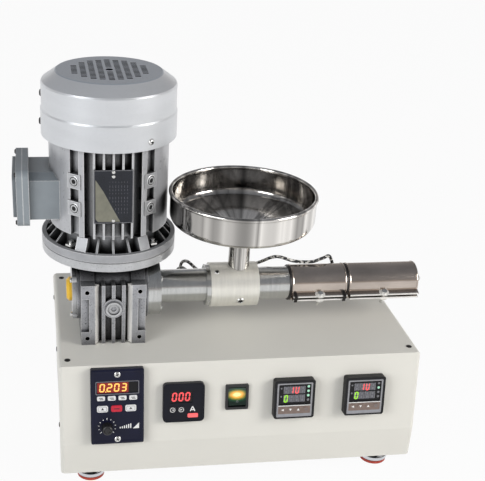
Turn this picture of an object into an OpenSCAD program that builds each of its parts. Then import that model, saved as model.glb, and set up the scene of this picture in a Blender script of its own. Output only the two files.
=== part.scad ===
// Filament extruder: a heated screw barrel, driven by a geared motor, on a control cabinet

/* [Cabinet] */
// Width of the cabinet
cab_w = 423; // [400:1:480]
// Depth of the flat top
cab_d = 236; // [215:1:300]
// Height of the sloping front panel
panel_drop = 97; // [97:1:130]
// How far the front panel runs out towards its foot
panel_run = 15; // [8:1:40]
// Height of the upright skirt below the panel
skirt_h = 39; // [25:1:60]
// Thickness of the sheet metal
sheet = 2; // [1.5:0.1:2.5]
// Outside radius of the folded edges
fold_r = 5; // [4:0.5:8]
// Width of the returns at the ends of the cover
return_w = 16; // [10:1:24]
// Height of the levelling feet
foot_h = 20; // [16:1:40]
// Radius of a foot's cup
foot_r = 17; // [12:0.5:24]
// Height of a foot's cup
foot_cup_h = 6; // [5:0.5:8]
// Thickness of the soft pad under a foot
foot_pad_h = 3; // [2:0.5:5]
// Radius of a foot's stem
foot_stem_r = 5; // [3:0.5:7]
// Distance of the feet from the cabinet's ends
foot_inset_x = 36; // [26:1:80]
// Distance of the feet from the skirt and the back
foot_inset_y = 26; // [26:1:60]
// Width of a ventilation slot in the back
vent_w = 4; // [3:0.5:6]
// Height of a ventilation slot in the back
vent_h = 46; // [20:1:70]
// Spacing of the ventilation slots
vent_pitch = 11; // [9:0.5:16]
// Number of ventilation slots
vent_count = 10; // [2:1:14]

/* [Panel instruments] */
// Gap round an instrument in its cut-out
cut_gap = 0.5; // [0.2:0.1:1]
// Width by which a bezel covers its cut-out
bezel_lap = 2.5; // [1.5:0.1:3.5]
// Left edge of the speed controller, in percent of the cabinet's width
speed_at = 8.27; // [6:0.01:9]
// Distance of the speed controller from the panel's top edge
speed_top = 2.5; // [1:0.5:3]
// Width of the speed controller
speed_w = 60; // [54:1:66]
// Height of the speed controller
speed_h = 92; // [86:1:93]
// How far the speed controller stands out
speed_out = 7; // [5:0.5:12]
// Depth of the speed controller behind the panel
speed_deep = 60; // [30:1:90]
// Radius of the speed knob
knob_r = 6; // [4.5:0.5:7]
// Height of the speed knob
knob_h = 11; // [8:0.5:16]
// Rounding of the speed knob's front edge
knob_edge = 1.6; // [0.8:0.2:2.4]
// Radius of the knob's spindle
knob_pin_r = 2.5; // [2:0.1:3.5]
// Depth of the knob's spindle in the controller
knob_pin_deep = 6; // [4:0.5:10]
// Running gap round the moving pieces of the panel
move_gap = 0.3; // [0.2:0.05:0.5]
// Left edge of the meter, in percent of the cabinet's width
meter_at = 27.66; // [26:0.01:29]
// Side of the square instruments
din = 48; // [45:1:50]
// Distance of the meter from the panel's top edge
meter_top = 24; // [12:1:30]
// How far the meter stands out
meter_out = 6; // [4:0.5:10]
// Left edge of the rocker switch, in percent of the cabinet's width
rocker_at = 44.92; // [43:0.01:47]
// Distance of the rocker switch from the panel's top edge
rocker_top = 30; // [15:1:40]
// Width of the rocker switch's frame
rocker_w = 27; // [25:0.5:30]
// Height of the rocker switch's frame
rocker_h = 31; // [29:0.5:36]
// How far the rocker switch's frame stands out
rocker_out = 3; // [2:0.5:5]
// Width of the rim of the rocker switch's frame
rocker_rim = 3; // [2.5:0.1:3.5]
// Turn of the rocker between its two ends
rocker_turn = 22; // [16:1:26]
// Left edge of the first temperature controller, in percent of the cabinet's width
pid_at = 58.16; // [56:0.01:60]
// Spacing of the temperature controllers, in percent of the cabinet's width
pid_step = 19.98; // [15:0.01:22]
// Distance of the temperature controllers from the panel's top edge
pid_top = 24.5; // [12:0.5:30]
// How far the temperature controllers stand out
pid_out = 10; // [7:0.5:14]
// Depth of the square instruments behind the panel
din_deep = 62; // [30:1:90]
// Depth of a display window below its bezel
window_sink = 0.8; // [0.4:0.1:1.5]
// Thickness of a display window
window_t = 1.2; // [0.8:0.1:2]
// Height of a key above its bezel
key_h = 1; // [0.5:0.1:2]

/* [Gearbox] */
// Left side of the gearbox
gear_x = 28; // [20:1:60]
// Front of the gearbox, behind the top edge of the panel
gear_y = 46; // [30:1:50]
// Width of the gearbox
gear_w = 74; // [70:1:84]
// Height of the gearbox up to the motor's flange
gear_h = 92; // [90:1:110]
// Depth of the gearbox
gear_d = 116; // [108:1:130]
// Distance of the barrel's axis behind the panel's top edge
axis_y = 89; // [86:1:96]
// Height of the barrel's axis above the cabinet
axis_z = 52; // [46:1:54]
// Distance of the motor's axis behind the barrel's axis
worm_offset = 37; // [30:1:42]
// Height of the gearbox's front columns
column_h = 76; // [70:1:80]
// Width of the gearbox's front columns
column_w = 16; // [13:0.5:18]
// Depth of the grooves between the fins
groove_d = 10; // [6:0.5:12]
// Thickness of a gearbox fin
gear_fin_t = 4; // [3:0.5:5]
// Number of gearbox fins
gear_fins = 3; // [2:1:4]
// Height of the round bosses on the gearbox's sides
side_boss = 4; // [3:0.5:6]
// Radius of the side bosses and covers
side_boss_r = 35; // [32:0.5:37]
// Thickness of the left bearing cover
cover_t = 5; // [4:0.5:8]
// Radius of the hollow output shaft's bore
output_bore_r = 9; // [8:0.5:11]
// Radius of the yellow output cap
cap_r = 14; // [12:0.5:18]
// Thickness of the yellow output cap
cap_t = 6; // [4:0.5:9]
// Radius of the oil plug
oil_plug_r = 9; // [7:0.5:11]

/* [Motor] */
// Radius of the flanges between gearbox and motor
flange_r = 78; // [74:0.5:84]
// Thickness of the gearbox's input flange
input_t = 10; // [6:0.5:12]
// Thickness of the motor's flange
flange_t = 10; // [6:0.5:12]
// Height of the ribbed hub on the motor's flange
hub_h = 15; // [12:0.5:24]
// Thickness of a flange rib
rib_t = 2.5; // [2:0.5:4]
// Angle between the flange's ribs
rib_step = 15; // [15:5:30]
// Bevel of the flanges where they meet
flange_edge = 0.8; // [0.4:0.1:1.5]
// Width of the blocks below the motor's mounting columns
foot_block_w = 13; // [10:0.5:16]
// Radius of the motor's body
body_r = 68; // [64:0.5:69]
// Depth of the channels between the motor's fins
fin_d = 9; // [6:0.5:11]
// Height of the motor's finned body
body_len = 115; // [106:1:150]
// Number of fins on the motor's front and back
fin_count = 5; // [3:2:5]
// Spacing of the motor's fins
fin_pitch = 10.5; // [9:0.5:12]
// Thickness of a motor fin
fin_t = 2.4; // [1.5:0.1:4]
// Width of the groove down a mounting column
column_groove_w = 11; // [8:0.5:13]
// Depth of the groove down a mounting column
column_groove_d = 6; // [4:0.5:8]
// Side of a mounting pad on a column
pad_w = 17; // [14:0.5:20]
// Length of the body that the fan cover hides
cowl_lap = 12; // [8:1:20]
// Step of the fan cover outside the motor's body
cowl_over = 8; // [5:0.5:10]
// Height of the fan cover's upright wall
cowl_wall = 59; // [50:1:80]
// Height of the swage round the fan cover's wall
cowl_swage_z = 30; // [22:1:36]
// Height of the fan cover's sloping shoulder
cowl_shoulder = 11; // [10:1:24]
// Radius of the fan cover's flat top
cowl_top_r = 58.5; // [50:0.5:62]
// Thickness of the fan cover's sheet
cowl_t = 1.5; // [1:0.1:2]
// Play between the fan cover and the motor's spigot
cowl_gap = 0.3; // [0.1:0.1:0.6]
// Length of an air slot
slot_l = 6.4; // [5:0.2:7]
// Width of an air slot
slot_w = 2.8; // [1.5:0.1:3.2]
// Spacing of the air slots across the columns
slot_pitch_x = 9.6; // [9:0.2:12]
// Spacing of the air slots along a column
slot_pitch_y = 5.2; // [4.8:0.2:7]
// Radius of the circle that the air slots fill
slot_field_r = 46; // [30:1:48]
// Radius of the cooling fan
fan_r = 54; // [40:1:55]
// Number of fan blades
fan_blades = 9; // [5:1:12]
// Width of the nameplate
plate_w = 43; // [36:1:46]
// Height of the nameplate
plate_h = 62; // [40:1:70]
// Thickness of the nameplate
plate_t = 1; // [0.6:0.1:2]
// Depth of the nameplate's flat seat in the fins
plate_seat = 2; // [1:0.1:3]

/* [Terminal box] */
// Width of the terminal box
term_w = 74; // [60:1:84]
// Height of the terminal box
term_h = 52; // [40:1:60]
// Reach of the terminal box from the motor's body
term_reach = 30; // [20:1:40]
// Height of the terminal box above the motor's flange
term_up = 28; // [22:1:40]
// Overhang of the terminal box's lid
term_lip = 7; // [4:0.5:9]
// Thickness of the lid and of the box's rim
term_rim_t = 7; // [5:0.5:9]
// Radius of the cable gland
gland_r = 8; // [6:0.5:10]

/* [Barrel] */
// Radius of the barrel
tube_r = 19.5; // [16:0.5:22]
// Radius of the barrel's bore
bore_r = 10; // [8:0.5:11]
// Gap between the screw and the bore
screw_gap = 0.25; // [0.1:0.05:0.5]
// Pitch of the screw's flight
screw_pitch = 18; // [12:1:24]
// Radius of the output flange
out_r = 33; // [30:0.5:36]
// Thickness of the output flange
out_t = 15; // [10:0.5:22]
// Width of the collar at the feed block
collar_w = 5; // [3:0.5:8]
// Radius of the feed block
feed_r = 26.5; // [24:0.5:29]
// Length of the feed block
feed_len = 57; // [50:1:70]
// Distance of the throat from the feed block's rear face
throat_x = 35; // [26:1:36]
// Length of bare barrel in front of the feed block
bare_len = 41; // [30:1:70]
// Length of the first heater
heat1_len = 67; // [50:1:90]
// Length of the second heater
heat2_len = 86; // [60:1:110]
// Gap between the heaters
heat_gap = 3; // [1:0.5:8]
// Thickness of a heater band
heat_t = 1.8; // [1.2:0.1:3]
// Play between the barrel and what is fitted on it
fit_gap = 0.1; // [0.05:0.05:0.2]
// Width of the slit in a heater band
slit_w = 4; // [3:0.5:6]
// Turn of the slit below the front of the barrel
slit_drop = 20; // [0:1:40]
// Height of the turned-out edges of a heater band
edge_h = 7; // [6:0.5:10]
// Thickness of the turned-out edges
edge_t = 1.6; // [1.2:0.1:2.5]
// Radius of a clamp screw
clamp_r = 2; // [1.5:0.1:2.5]
// Length of a clamp screw below the band's edge
clamp_tail = 10; // [7:0.5:14]
// Radius of the nozzle's nut
nut_r = 9; // [7:0.5:12]
// Length of the nozzle's nut
nut_len = 5; // [3:0.5:10]
// Radius of the nozzle's tip
tip_r = 4; // [3:0.5:5.5]
// Length of the nozzle's tip
tip_len = 5; // [3:0.5:10]
// Radius of the nozzle's hole
hole_r = 0.9; // [0.5:0.1:1.5]

/* [Hopper] */
// Radius of the hopper's rim
bowl_r = 84; // [60:1:90]
// Clearance between the hopper and the motor
bowl_clear = 2; // [1:0.5:12]
// Height of the rim above the barrel's axis
bowl_up = 119; // [105:1:150]
// Height of the hopper's upright wall
bowl_wall = 32; // [20:1:40]
// Height of the hopper's sloping floor
bowl_floor = 20; // [12:1:26]
// Radius of the bend between wall and floor
bowl_bend = 10; // [6:1:14]
// Thickness of the hopper's sheet
bowl_t = 1.5; // [1:0.1:2.5]
// Radius of the rolled rim
rim_r = 2.4; // [2:0.1:4]
// Outside radius of the hopper's pipe
pipe_r = 12.5; // [11:0.5:14]
// Thickness of the hopper's pipe
pipe_t = 1.8; // [1.2:0.1:2.5]
// Height of the collar that joins bowl and pipe
neck_h = 6; // [4:0.5:10]

/* [Heater leads] */
// Radius of a heater lead in its sleeve
lead_r = 2; // [1.5:0.1:2.6]
// Side of a heater's terminal block
block_w = 14; // [11:0.5:18]
// Height of a heater's terminal block
block_h = 8; // [6:0.5:12]
// Radius of the grommet for the leads
grommet_r = 13; // [10:0.5:18]
// Height of the grommet above the cabinet
grommet_h = 5; // [3:0.5:8]

/* [Power inlet] */
// Width of the power inlet's flange
inlet_w = 50; // [46:1:60]
// Height of the power inlet's flange
inlet_h = 30; // [28:1:40]
// Thickness of the power inlet's flange
inlet_t = 3; // [2:0.5:5]
// Depth of the power inlet's socket
inlet_deep = 18; // [12:1:24]
// Distance of the power inlet from the cabinet's left end
inlet_x = 70; // [40:1:90]

/* [Hidden] */
$fn = 64;
eps = 0.01;
far = 600;

// Cabinet values
slope = atan(panel_run / panel_drop);
cab_h = panel_drop + skirt_h;
foot_z = -cab_h - foot_h;

// Instrument values
speed_x = cab_w * speed_at / 100;
meter_x = cab_w * meter_at / 100;
rocker_x = cab_w * rocker_at / 100;
pid_x = cab_w * pid_at / 100;
pid_pitch = cab_w * pid_step / 100;
knob_x = speed_x + 0.3 * speed_w;
knob_s = speed_top + 0.765 * speed_h;
rocker_open_w = rocker_w - 2 * rocker_rim;
rocker_open_h = rocker_h - 2 * rocker_rim;
rocker_arc = rocker_open_h / 2 - move_gap;
rocker_sink = 3;
rocker_mid_x = rocker_x + rocker_w / 2;
rocker_mid_s = rocker_top + rocker_h / 2;

// Display windows: the top left corner of each in its instrument, and its size
speed_window_at = [speed_w * 7 / 60, speed_h * 4 / 23];
speed_window = [speed_w * 23 / 30, speed_h * 13 / 92];
meter_window_at = din * [1 / 6, 3 / 16];
meter_window = din * [13 / 24, 5 / 16];
pid_window_at = din * [5 / 48, 5 / 48];
pid_window = din * [19 / 24, 25 / 48];
small_key = [speed_w * 3 / 20, speed_h * 0.06];
small_key_at = [speed_w * 23 / 120, speed_h * 0.38];
small_key_step = speed_w * 0.2017;
wide_key = [speed_w * 5 / 24, speed_h * 2 / 23];
wide_key_at = [speed_w * 13 / 60, speed_h * 12 / 23];
wide_key_step = speed_w * 4 / 15;
meter_key = din * [7 / 48, 7 / 48];
meter_key_at = din * [11 / 48, 2 / 3];
meter_key_step = din * 5 / 24;
bar_key = din * [1 / 4, 5 / 48];
bar_key_at = din * [23 / 32, 5 / 6];
pid_key = din * [13 / 96, 5 / 48];
pid_key_at = din * [5 / 24, 73 / 96];
pid_key_step = din * 0.196;

// Drive values
motor_x = gear_x + gear_w / 2;
motor_y = axis_y + worm_offset;
flange_z = gear_h + input_t;
hub_z = flange_z + flange_t;
body_z = hub_z + hub_h;
cowl_r = body_r + cowl_over;
spigot_r = cowl_r - cowl_t - cowl_gap;
hub_r = body_r - fin_d;
plate_mid = body_z + 0.44 * body_len;
cowl_z = body_z + body_len - cowl_lap;
cowl_top_z = cowl_z + cowl_wall + cowl_shoulder;
column_turn = 38;
columns = [-column_turn, column_turn, 180 - column_turn, 180 + column_turn];
foot_turn = 30;
boss_low = 0.285 * body_len;
boss_high = 0.56 * body_len;
term_x = motor_x - body_r - term_reach;
term_z = hub_z + term_up;
lid_x = term_x - term_rim_t;

// Barrel values
out_x = gear_x + gear_w + side_boss;
rear_x = out_x + out_t;
throat = motor_x + sqrt(pow(body_r + bowl_clear + bowl_r - bowl_t / 2 + rim_r, 2) - pow(worm_offset, 2));
feed_x = throat - throat_x;
rear_len = feed_x - rear_x;
front_x = feed_x + feed_len;
heat1_x = front_x + bare_len;
heat2_x = heat1_x + heat1_len + heat_gap;
barrel_end = heat2_x + heat2_len;
tip_x = barrel_end + nut_len;
nozzle_end = tip_x + tip_len;
heat_r = tube_r + fit_gap + heat_t;
screw_r = bore_r - screw_gap;
core_r = 0.66 * bore_r;
clamp_at = heat_r + edge_h / 2;
block_in = 3;

// Hopper values, measured from the barrel's axis
bowl_base = bowl_up - bowl_wall - bowl_floor;
pipe_foot = bore_r + 5;

// The box round the whole machine, measured from the top front left edge of the cabinet
env_left = lid_x - 0.6 * term_rim_t;
env_right = nozzle_end;
env_front = -sin(slope) * (knob_s + knob_r - knob_edge) - cos(slope) * (speed_out + move_gap + knob_h);
env_back = cab_d + inlet_t;
origin = [-(env_left + env_right) / 2, -(env_front + env_back) / 2, -foot_z];

// Place of the heater leads' grommet on the cabinet's top
grommet_at = [motor_x + flange_r + grommet_r + 4, cab_d - 48];

function arc(c, r, from, to, steps = 6) =
  [for (i = [0:steps]) c + r * [cos(from + (to - from) * i / steps), sin(from + (to - from) * i / steps)]];
function rounded(w, h, r) = concat(
  arc([w - r, h - r], r, 0, 90), arc([r, h - r], r, 90, 180),
  arc([r, r], r, 180, 270), arc([w - r, r], r, 270, 360));
function unit(v) = v / norm(v);

// Outline of the cabinet seen from its end, drawn in by inset, as depth and height
function end_outline(inset, back, foot) = [
  [back, -inset],
  [inset * (1 - sin(slope)) / cos(slope), -inset],
  [inset - panel_run, ((inset - panel_run) * cos(slope) - inset) / sin(slope)],
  [inset - panel_run, foot],
  [back, foot]];

// A smooth path through points, with steps between each pair
function spline_at(p, i, t) =
  let (n = len(p) - 1, a = p[max(i - 1, 0)], b = p[i], c = p[i + 1], d = p[min(i + 2, n)])
  b + t * (c - a) / 2 + t * t * (2 * a - 5 * b + 4 * c - d) / 2 + t * t * t * (3 * b - a - 3 * c + d) / 2;
function smooth_path(p, steps) = concat(
  [for (i = [0:len(p) - 2], k = [0:steps - 1]) spline_at(p, i, k / steps)], [p[len(p) - 1]]);
function path_ring(p, i, r, sides) =
  let (t = unit(p[min(i + 1, len(p) - 1)] - p[max(i - 1, 0)]),
       u = unit(cross(t, [0, 1, 0.5])),
       v = cross(u, t))
  [for (k = [0:sides - 1]) p[i] + r * (u * cos(360 * k / sides) + v * sin(360 * k / sides))];

module at_cabinet() { translate(origin) children(); }
module on_panel() { at_cabinet() rotate([90 - slope, 0, 0]) children(); }
module on_motor() { at_cabinet() translate([motor_x, motor_y, 0]) children(); }
module on_barrel() { at_cabinet() translate([0, axis_y, axis_z]) rotate([0, 90, 0]) children(); }
module on_hopper() { at_cabinet() translate([throat, axis_y, axis_z]) children(); }

module end_plate(x, t, outline) {
  translate([x, 0, 0]) rotate([90, 0, 90]) linear_extrude(t) polygon(outline);
}

module tube(r, inner, x, length) {
  translate([0, 0, x]) difference() {
    cylinder(r = r, h = length);
    translate([0, 0, -1]) cylinder(r = inner, h = length + 2);
  }
}

module sweep(p, r, sides = 8) {
  n = len(p);
  points = [for (i = [0:n - 1]) each path_ring(p, i, r, sides)];
  walls = [for (i = [0:n - 2], k = [0:sides - 1])
    [i * sides + k, i * sides + (k + 1) % sides, (i + 1) * sides + (k + 1) % sides, (i + 1) * sides + k]];
  polyhedron(points, concat([[for (k = [sides - 1:-1:0]) k]], walls,
    [[for (k = [0:sides - 1]) (n - 1) * sides + k]]), convexity = 6);
}

// The closed form of the cabinet, drawn in by inset and running past its back and foot by over: a loft of its
// end outline, which grows to its full size round the fold at each end
module cabinet_form(inset, over) {
  fold = [for (a = arc([0, 0], fold_r - inset, 180, 90)) [fold_r + a.x, fold_r - a.y]];
  n = len(fold);
  stations = concat(fold, [for (i = [n - 1:-1:0]) [cab_w - fold[i].x, fold[i].y]]);
  rings = [for (s = stations, p = end_outline(s.y, cab_d + over, -cab_h - over)) [s.x, p.x, p.y]];
  walls = [for (i = [0:2 * n - 2], k = [0:4])
    [5 * i + k, 5 * (i + 1) + k, 5 * (i + 1) + (k + 1) % 5, 5 * i + (k + 1) % 5]];
  polyhedron(rings, concat([[for (k = [0:4]) k]], walls, [[for (k = [4:-1:0]) 5 * (2 * n - 1) + k]]),
    convexity = 4);
}

module panel_cut(x, top, w, h) {
  rotate([90 - slope, 0, 0])
    translate([x + bezel_lap - cut_gap, -top - h + bezel_lap - cut_gap, -3 * sheet])
      cube([w - 2 * (bezel_lap - cut_gap), h - 2 * (bezel_lap - cut_gap), 6 * sheet]);
}

module cabinet_cover() {
  color([0.8, 0.8, 0.77]) at_cabinet() difference() {
    cabinet_form(0, 0);
    cabinet_form(sheet, 1);
    end_plate(-1, cab_w + 2, end_outline(return_w, cab_d + 1, -cab_h - 1));
    panel_cut(speed_x, speed_top, speed_w, speed_h);
    panel_cut(meter_x, meter_top, din, din);
    panel_cut(rocker_x, rocker_top, rocker_w, rocker_h);
    for (i = [0, 1]) panel_cut(pid_x + i * pid_pitch, pid_top, din, din);
    translate([grommet_at.x, grommet_at.y, -2 * sheet]) cylinder(r = grommet_r - 3, h = 4 * sheet);
  }
}

module side_plate(x) {
  color([0.78, 0.78, 0.75]) at_cabinet() end_plate(x, sheet, end_outline(fold_r, cab_d, -cab_h));
}
module left_side() { side_plate(sheet); }
module right_side() { side_plate(cab_w - 2 * sheet); }

module rear_panel() {
  low = 2 * sheet;
  high = cab_w - 2 * sheet;
  color([0.78, 0.78, 0.75]) at_cabinet() difference() {
    translate([0, cab_d, 0]) rotate([90, 0, 0]) linear_extrude(sheet) polygon([
      [low, -cab_h], [high, -cab_h], [high, -sheet - fold_r], [high - fold_r, -sheet],
      [low + fold_r, -sheet], [low, -sheet - fold_r]]);
    for (i = [0:vent_count - 1])
      translate([cab_w - 60 - i * vent_pitch, cab_d - 2 * sheet, -cab_h / 2 - vent_h / 2])
        cube([vent_w, 4 * sheet, vent_h]);
    translate([inlet_x + 9 - cut_gap, cab_d - 2 * sheet, -cab_h / 2 - inlet_h / 2 + 3 - cut_gap])
      cube([inlet_w - 18 + 2 * cut_gap, 4 * sheet, inlet_h - 6 + 2 * cut_gap]);
  }
}

module base_plate() {
  low = 2 * sheet;
  high = cab_w - 2 * sheet;
  front = sheet - panel_run;
  color([0.72, 0.72, 0.7]) at_cabinet() translate([0, 0, -cab_h]) linear_extrude(sheet) polygon([
    [low, cab_d - sheet], [high, cab_d - sheet], [high, front + fold_r], [high - fold_r, front],
    [low + fold_r, front], [low, front + fold_r]]);
}

module at_feet() {
  for (x = [foot_inset_x, cab_w - foot_inset_x], y = [foot_inset_y - panel_run, cab_d - foot_inset_y])
    at_cabinet() translate([x, y, foot_z]) children();
}

module foot_stems() {
  floor_z = foot_pad_h + foot_cup_h / 2;
  color([0.2, 0.21, 0.22]) at_feet() translate([0, 0, floor_z])
    cylinder(r = foot_stem_r, h = foot_h - floor_z);
}

// A dished cup, higher at its rim than in its middle
module foot_cups() {
  color([0.75, 0.76, 0.78]) at_feet() translate([0, 0, foot_pad_h]) rotate_extrude() polygon([
    [0, 0], [foot_r - 2, 0], [foot_r, 2], [foot_r, foot_cup_h], [foot_r - 1.5, foot_cup_h],
    [foot_stem_r + 3, foot_cup_h / 2], [0, foot_cup_h / 2]]);
}

module foot_pads() {
  color([0.8, 0.3, 0.25]) at_feet() cylinder(r = foot_r - 1, h = foot_pad_h);
}

module power_inlet() {
  wall = 2;
  body_w = inlet_w - 18;
  body_h = inlet_h - 6;
  color([0.1, 0.1, 0.11]) at_cabinet() translate([inlet_x, cab_d, -cab_h / 2 - inlet_h / 2])
    rotate([90, 0, 0]) translate([0, 0, -inlet_t]) difference() {
      union() {
        linear_extrude(inlet_t) polygon(rounded(inlet_w, inlet_h, 4));
        translate([9, 3, 0]) cube([body_w, body_h, inlet_t + inlet_deep]);
      }
      translate([9 + wall, 3 + wall, -1]) cube([body_w - 2 * wall, body_h - 2 * wall, inlet_deep + 1]);
    }
}

// Outline of the gearbox seen from its end, drawn in at the front and the slope
function gear_outline(inset) = [
  [gear_y + inset, 0], [gear_y + inset, column_h - inset / 2], [gear_y + 14 + inset, column_h - inset / 2],
  [motor_y - 44 + inset, gear_h], [gear_y + gear_d, gear_h], [gear_y + gear_d, 12],
  [gear_y + gear_d - 12, 0]];

module gearbox_housing() {
  inner_w = gear_w - 2 * column_w;
  groove_w = (inner_w - gear_fins * gear_fin_t) / (gear_fins + 1);
  lug_x = 7;
  lug_h = 17;
  pocket_w = 9;
  pocket_d = 4;
  color([0.62, 0.63, 0.65]) difference() {
    union() {
      at_cabinet() {
        end_plate(gear_x, gear_w, gear_outline(groove_d));
        for (x = [gear_x, gear_x + gear_w - column_w]) end_plate(x, column_w, gear_outline(0));
        for (i = [0:gear_fins - 1])
          end_plate(gear_x + column_w + groove_w + i * (groove_w + gear_fin_t), gear_fin_t, gear_outline(2));
        translate([motor_x, gear_y + groove_d + 1, axis_z - 6]) rotate([90, 0, 0])
          cylinder(r = oil_plug_r + 3, h = groove_d);
      }
      on_barrel() translate([0, 0, gear_x - side_boss]) cylinder(r = side_boss_r, h = gear_w + 2 * side_boss);
    }
    on_barrel() translate([0, 0, gear_x - side_boss - 1])
      cylinder(r = output_bore_r, h = gear_w + 2 * side_boss + 2);
    at_cabinet() for (side = [0, 1]) {
      // Pockets down the outer halves of the columns, between their lugs
      translate([gear_x + side * (gear_w - pocket_w) - 1 + side, gear_y - 1, lug_h])
        cube([pocket_w + 1, pocket_d + 1, column_h - 2 * lug_h]);
      for (z = [lug_h / 2, column_h - lug_h / 2])
        translate([side ? gear_x + gear_w - lug_x : gear_x + lug_x, gear_y - 1, z]) rotate([-90, 0, 0])
          cylinder(r = 2.6, h = 13);
    }
  }
}

module bearing_cover() {
  lug_r = 5;
  color([0.66, 0.67, 0.69]) on_barrel() translate([0, 0, gear_x - side_boss - cover_t])
    linear_extrude(cover_t) difference() {
      union() {
        circle(side_boss_r - 2);
        for (a = [45:90:315]) rotate(a) translate([side_boss_r - lug_r + 1, 0]) circle(lug_r);
      }
      circle(output_bore_r);
    }
}

module output_cap() {
  color([0.93, 0.75, 0.2]) on_barrel() translate([0, 0, gear_x - side_boss - cover_t]) {
    translate([0, 0, -cap_t]) rotate_extrude() polygon([
      [0, 0], [cap_r - 3, 0], [cap_r, 3], [cap_r, cap_t], [0, cap_t]]);
    cylinder(r = output_bore_r - fit_gap, h = cover_t);
  }
}

module oil_plug() {
  color([0.5, 0.5, 0.52]) at_cabinet() translate([motor_x, gear_y + 1, axis_z - 6]) rotate([90, 0, 0])
    difference() {
      cylinder(r = oil_plug_r, h = 3);
      translate([0, 0, 1]) cylinder(r = oil_plug_r - 2, h = 3);
      translate([0, 0, -1]) cylinder(r = 3.5, h = 5, $fn = 6);
    }
}

module input_flange() {
  color([0.7, 0.7, 0.71]) on_motor() translate([0, 0, gear_h]) rotate_extrude() polygon([
    [0, 0], [flange_r, 0], [flange_r, input_t - flange_edge], [flange_r - flange_edge, input_t], [0, input_t]]);
}

// A ring flange round a hub, with thin ribs and with blocks below the motor's mounting columns
module motor_flange() {
  rim_r = flange_r - 5;
  floor_t = flange_t / 2;
  top = flange_t + hub_h;
  color([0.72, 0.72, 0.73]) on_motor() translate([0, 0, flange_z]) {
    rotate_extrude() polygon([
      [0, 0], [flange_r - flange_edge, 0], [flange_r, flange_edge], [flange_r, flange_t], [rim_r, flange_t],
      [rim_r, floor_t], [hub_r, floor_t], [hub_r, top], [0, top]]);
    for (a = [0:rib_step:359]) if (abs(a % 90 - 45) > 1 && abs(abs(a % 180 - 90) - 90 + foot_turn) > 8)
      rotate(a - 90) translate([0, rib_t / 2, 0]) rotate([90, 0, 0]) linear_extrude(rib_t) polygon([
        [hub_r - 2, floor_t - 1], [rim_r + 1, floor_t - 1], [rim_r + 1, flange_t - 2],
        [hub_r + 1, top - 2], [hub_r - 2, top - 2]]);
    for (a = [-foot_turn, foot_turn, 180 - foot_turn, 180 + foot_turn])
      rotate(a) translate([-foot_block_w / 2, 0, 0]) rotate([90, 0, 90]) linear_extrude(foot_block_w) polygon([
        [-hub_r + 2, floor_t - 1], [-rim_r - 1, floor_t - 1], [-rim_r - 1, flange_t - 1.5],
        [-body_r + 1, top - 1], [-hub_r + 2, top - 1]]);
  }
}

// Section of the motor's body: fins in channels at the front and the back, and a groove down each mounting column
module body_section() {
  half = (fin_count + 1) * fin_pitch / 2;
  difference() {
    circle(body_r);
    for (a = [0, 180]) rotate(a) difference() {
      translate([-half, -body_r - 1]) square([2 * half, body_r]);
      circle(hub_r);
      for (i = [0:fin_count - 1])
        translate([(i - (fin_count - 1) / 2) * fin_pitch - fin_t / 2, -body_r - 1]) square([fin_t, body_r]);
    }
    for (a = columns) rotate(a) translate([-column_groove_w / 2, -body_r - 1])
      square([column_groove_w, column_groove_d + 1]);
  }
}

module motor_body() {
  proud = 0.8;
  hole_r = 2.6;
  color([0.66, 0.67, 0.69]) on_motor() translate([0, 0, body_z]) difference() {
    union() {
      linear_extrude(body_len) body_section();
      translate([0, 0, body_len - cowl_lap + 2]) cylinder(r = spigot_r, h = cowl_lap - 2);
      for (a = columns, z = [boss_low, boss_high])
        rotate(a) translate([-pad_w / 2, -body_r - proud, z - pad_w / 2]) cube([pad_w, body_r / 4, pad_w]);
    }
    for (a = columns, z = [boss_low, boss_high])
      rotate(a) translate([0, -body_r - 2, z]) rotate([-90, 0, 0]) cylinder(r = hole_r, h = 13);
    translate([-plate_w / 2 - 0.5, -body_r - 1, plate_mid - body_z - plate_h / 2 - 0.5])
      cube([plate_w + 1, plate_seat + 1, plate_h + 1]);
  }
}

module nameplate() {
  color([0.06, 0.07, 0.1]) on_motor() translate([-plate_w / 2, plate_seat - body_r - plate_t, plate_mid - plate_h / 2])
    cube([plate_w, plate_t, plate_h]);
}

module cooling_fan() {
  hub = 16;
  base = body_z + body_len;
  blade_h = cowl_top_z - base - 14;
  color([0.12, 0.12, 0.13]) on_motor() translate([0, 0, base]) {
    cylinder(r = 9, h = 6);
    translate([0, 0, 6]) cylinder(r = hub, h = blade_h - 6);
    translate([0, 0, 6]) cylinder(r = fan_r, h = 2);
    for (i = [0:fan_blades - 1])
      rotate(i * 360 / fan_blades) translate([hub - 2, -1, 6]) cube([fan_r - hub + 1, 2, blade_h - 6]);
  }
}

module fan_cover() {
  top = cowl_wall + cowl_shoulder;
  swage = 1;
  color([0.78, 0.79, 0.8]) on_motor() translate([0, 0, cowl_z]) difference() {
    rotate_extrude($fn = 96) polygon([
      [cowl_r - cowl_t, 0], [cowl_r, 0], [cowl_r, cowl_swage_z - 2], [cowl_r - swage, cowl_swage_z],
      [cowl_r - swage, cowl_wall - 2], [cowl_r - swage - 1, cowl_wall],
      [cowl_top_r, top], [0, top], [0, top - cowl_t], [cowl_top_r - cowl_t / 2, top - cowl_t],
      [cowl_r - swage - 1 - cowl_t, cowl_wall - cowl_t / 2], [cowl_r - swage - cowl_t, cowl_swage_z],
      [cowl_r - cowl_t, cowl_swage_z - 2]]);
    for (i = [-5:5], j = [-12:12])
      let (x = i * slot_pitch_x, y = (j + (abs(i) % 2) / 2) * slot_pitch_y)
        if (norm([x, y]) < slot_field_r - slot_l / 2 && norm([x, y]) > 7)
          translate([x - slot_l / 2, y - slot_w / 2, top - 2 * cowl_t]) cube([slot_l, slot_w, 4 * cowl_t]);
    cylinder(r = 4, h = 2 * top);
  }
}

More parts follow.
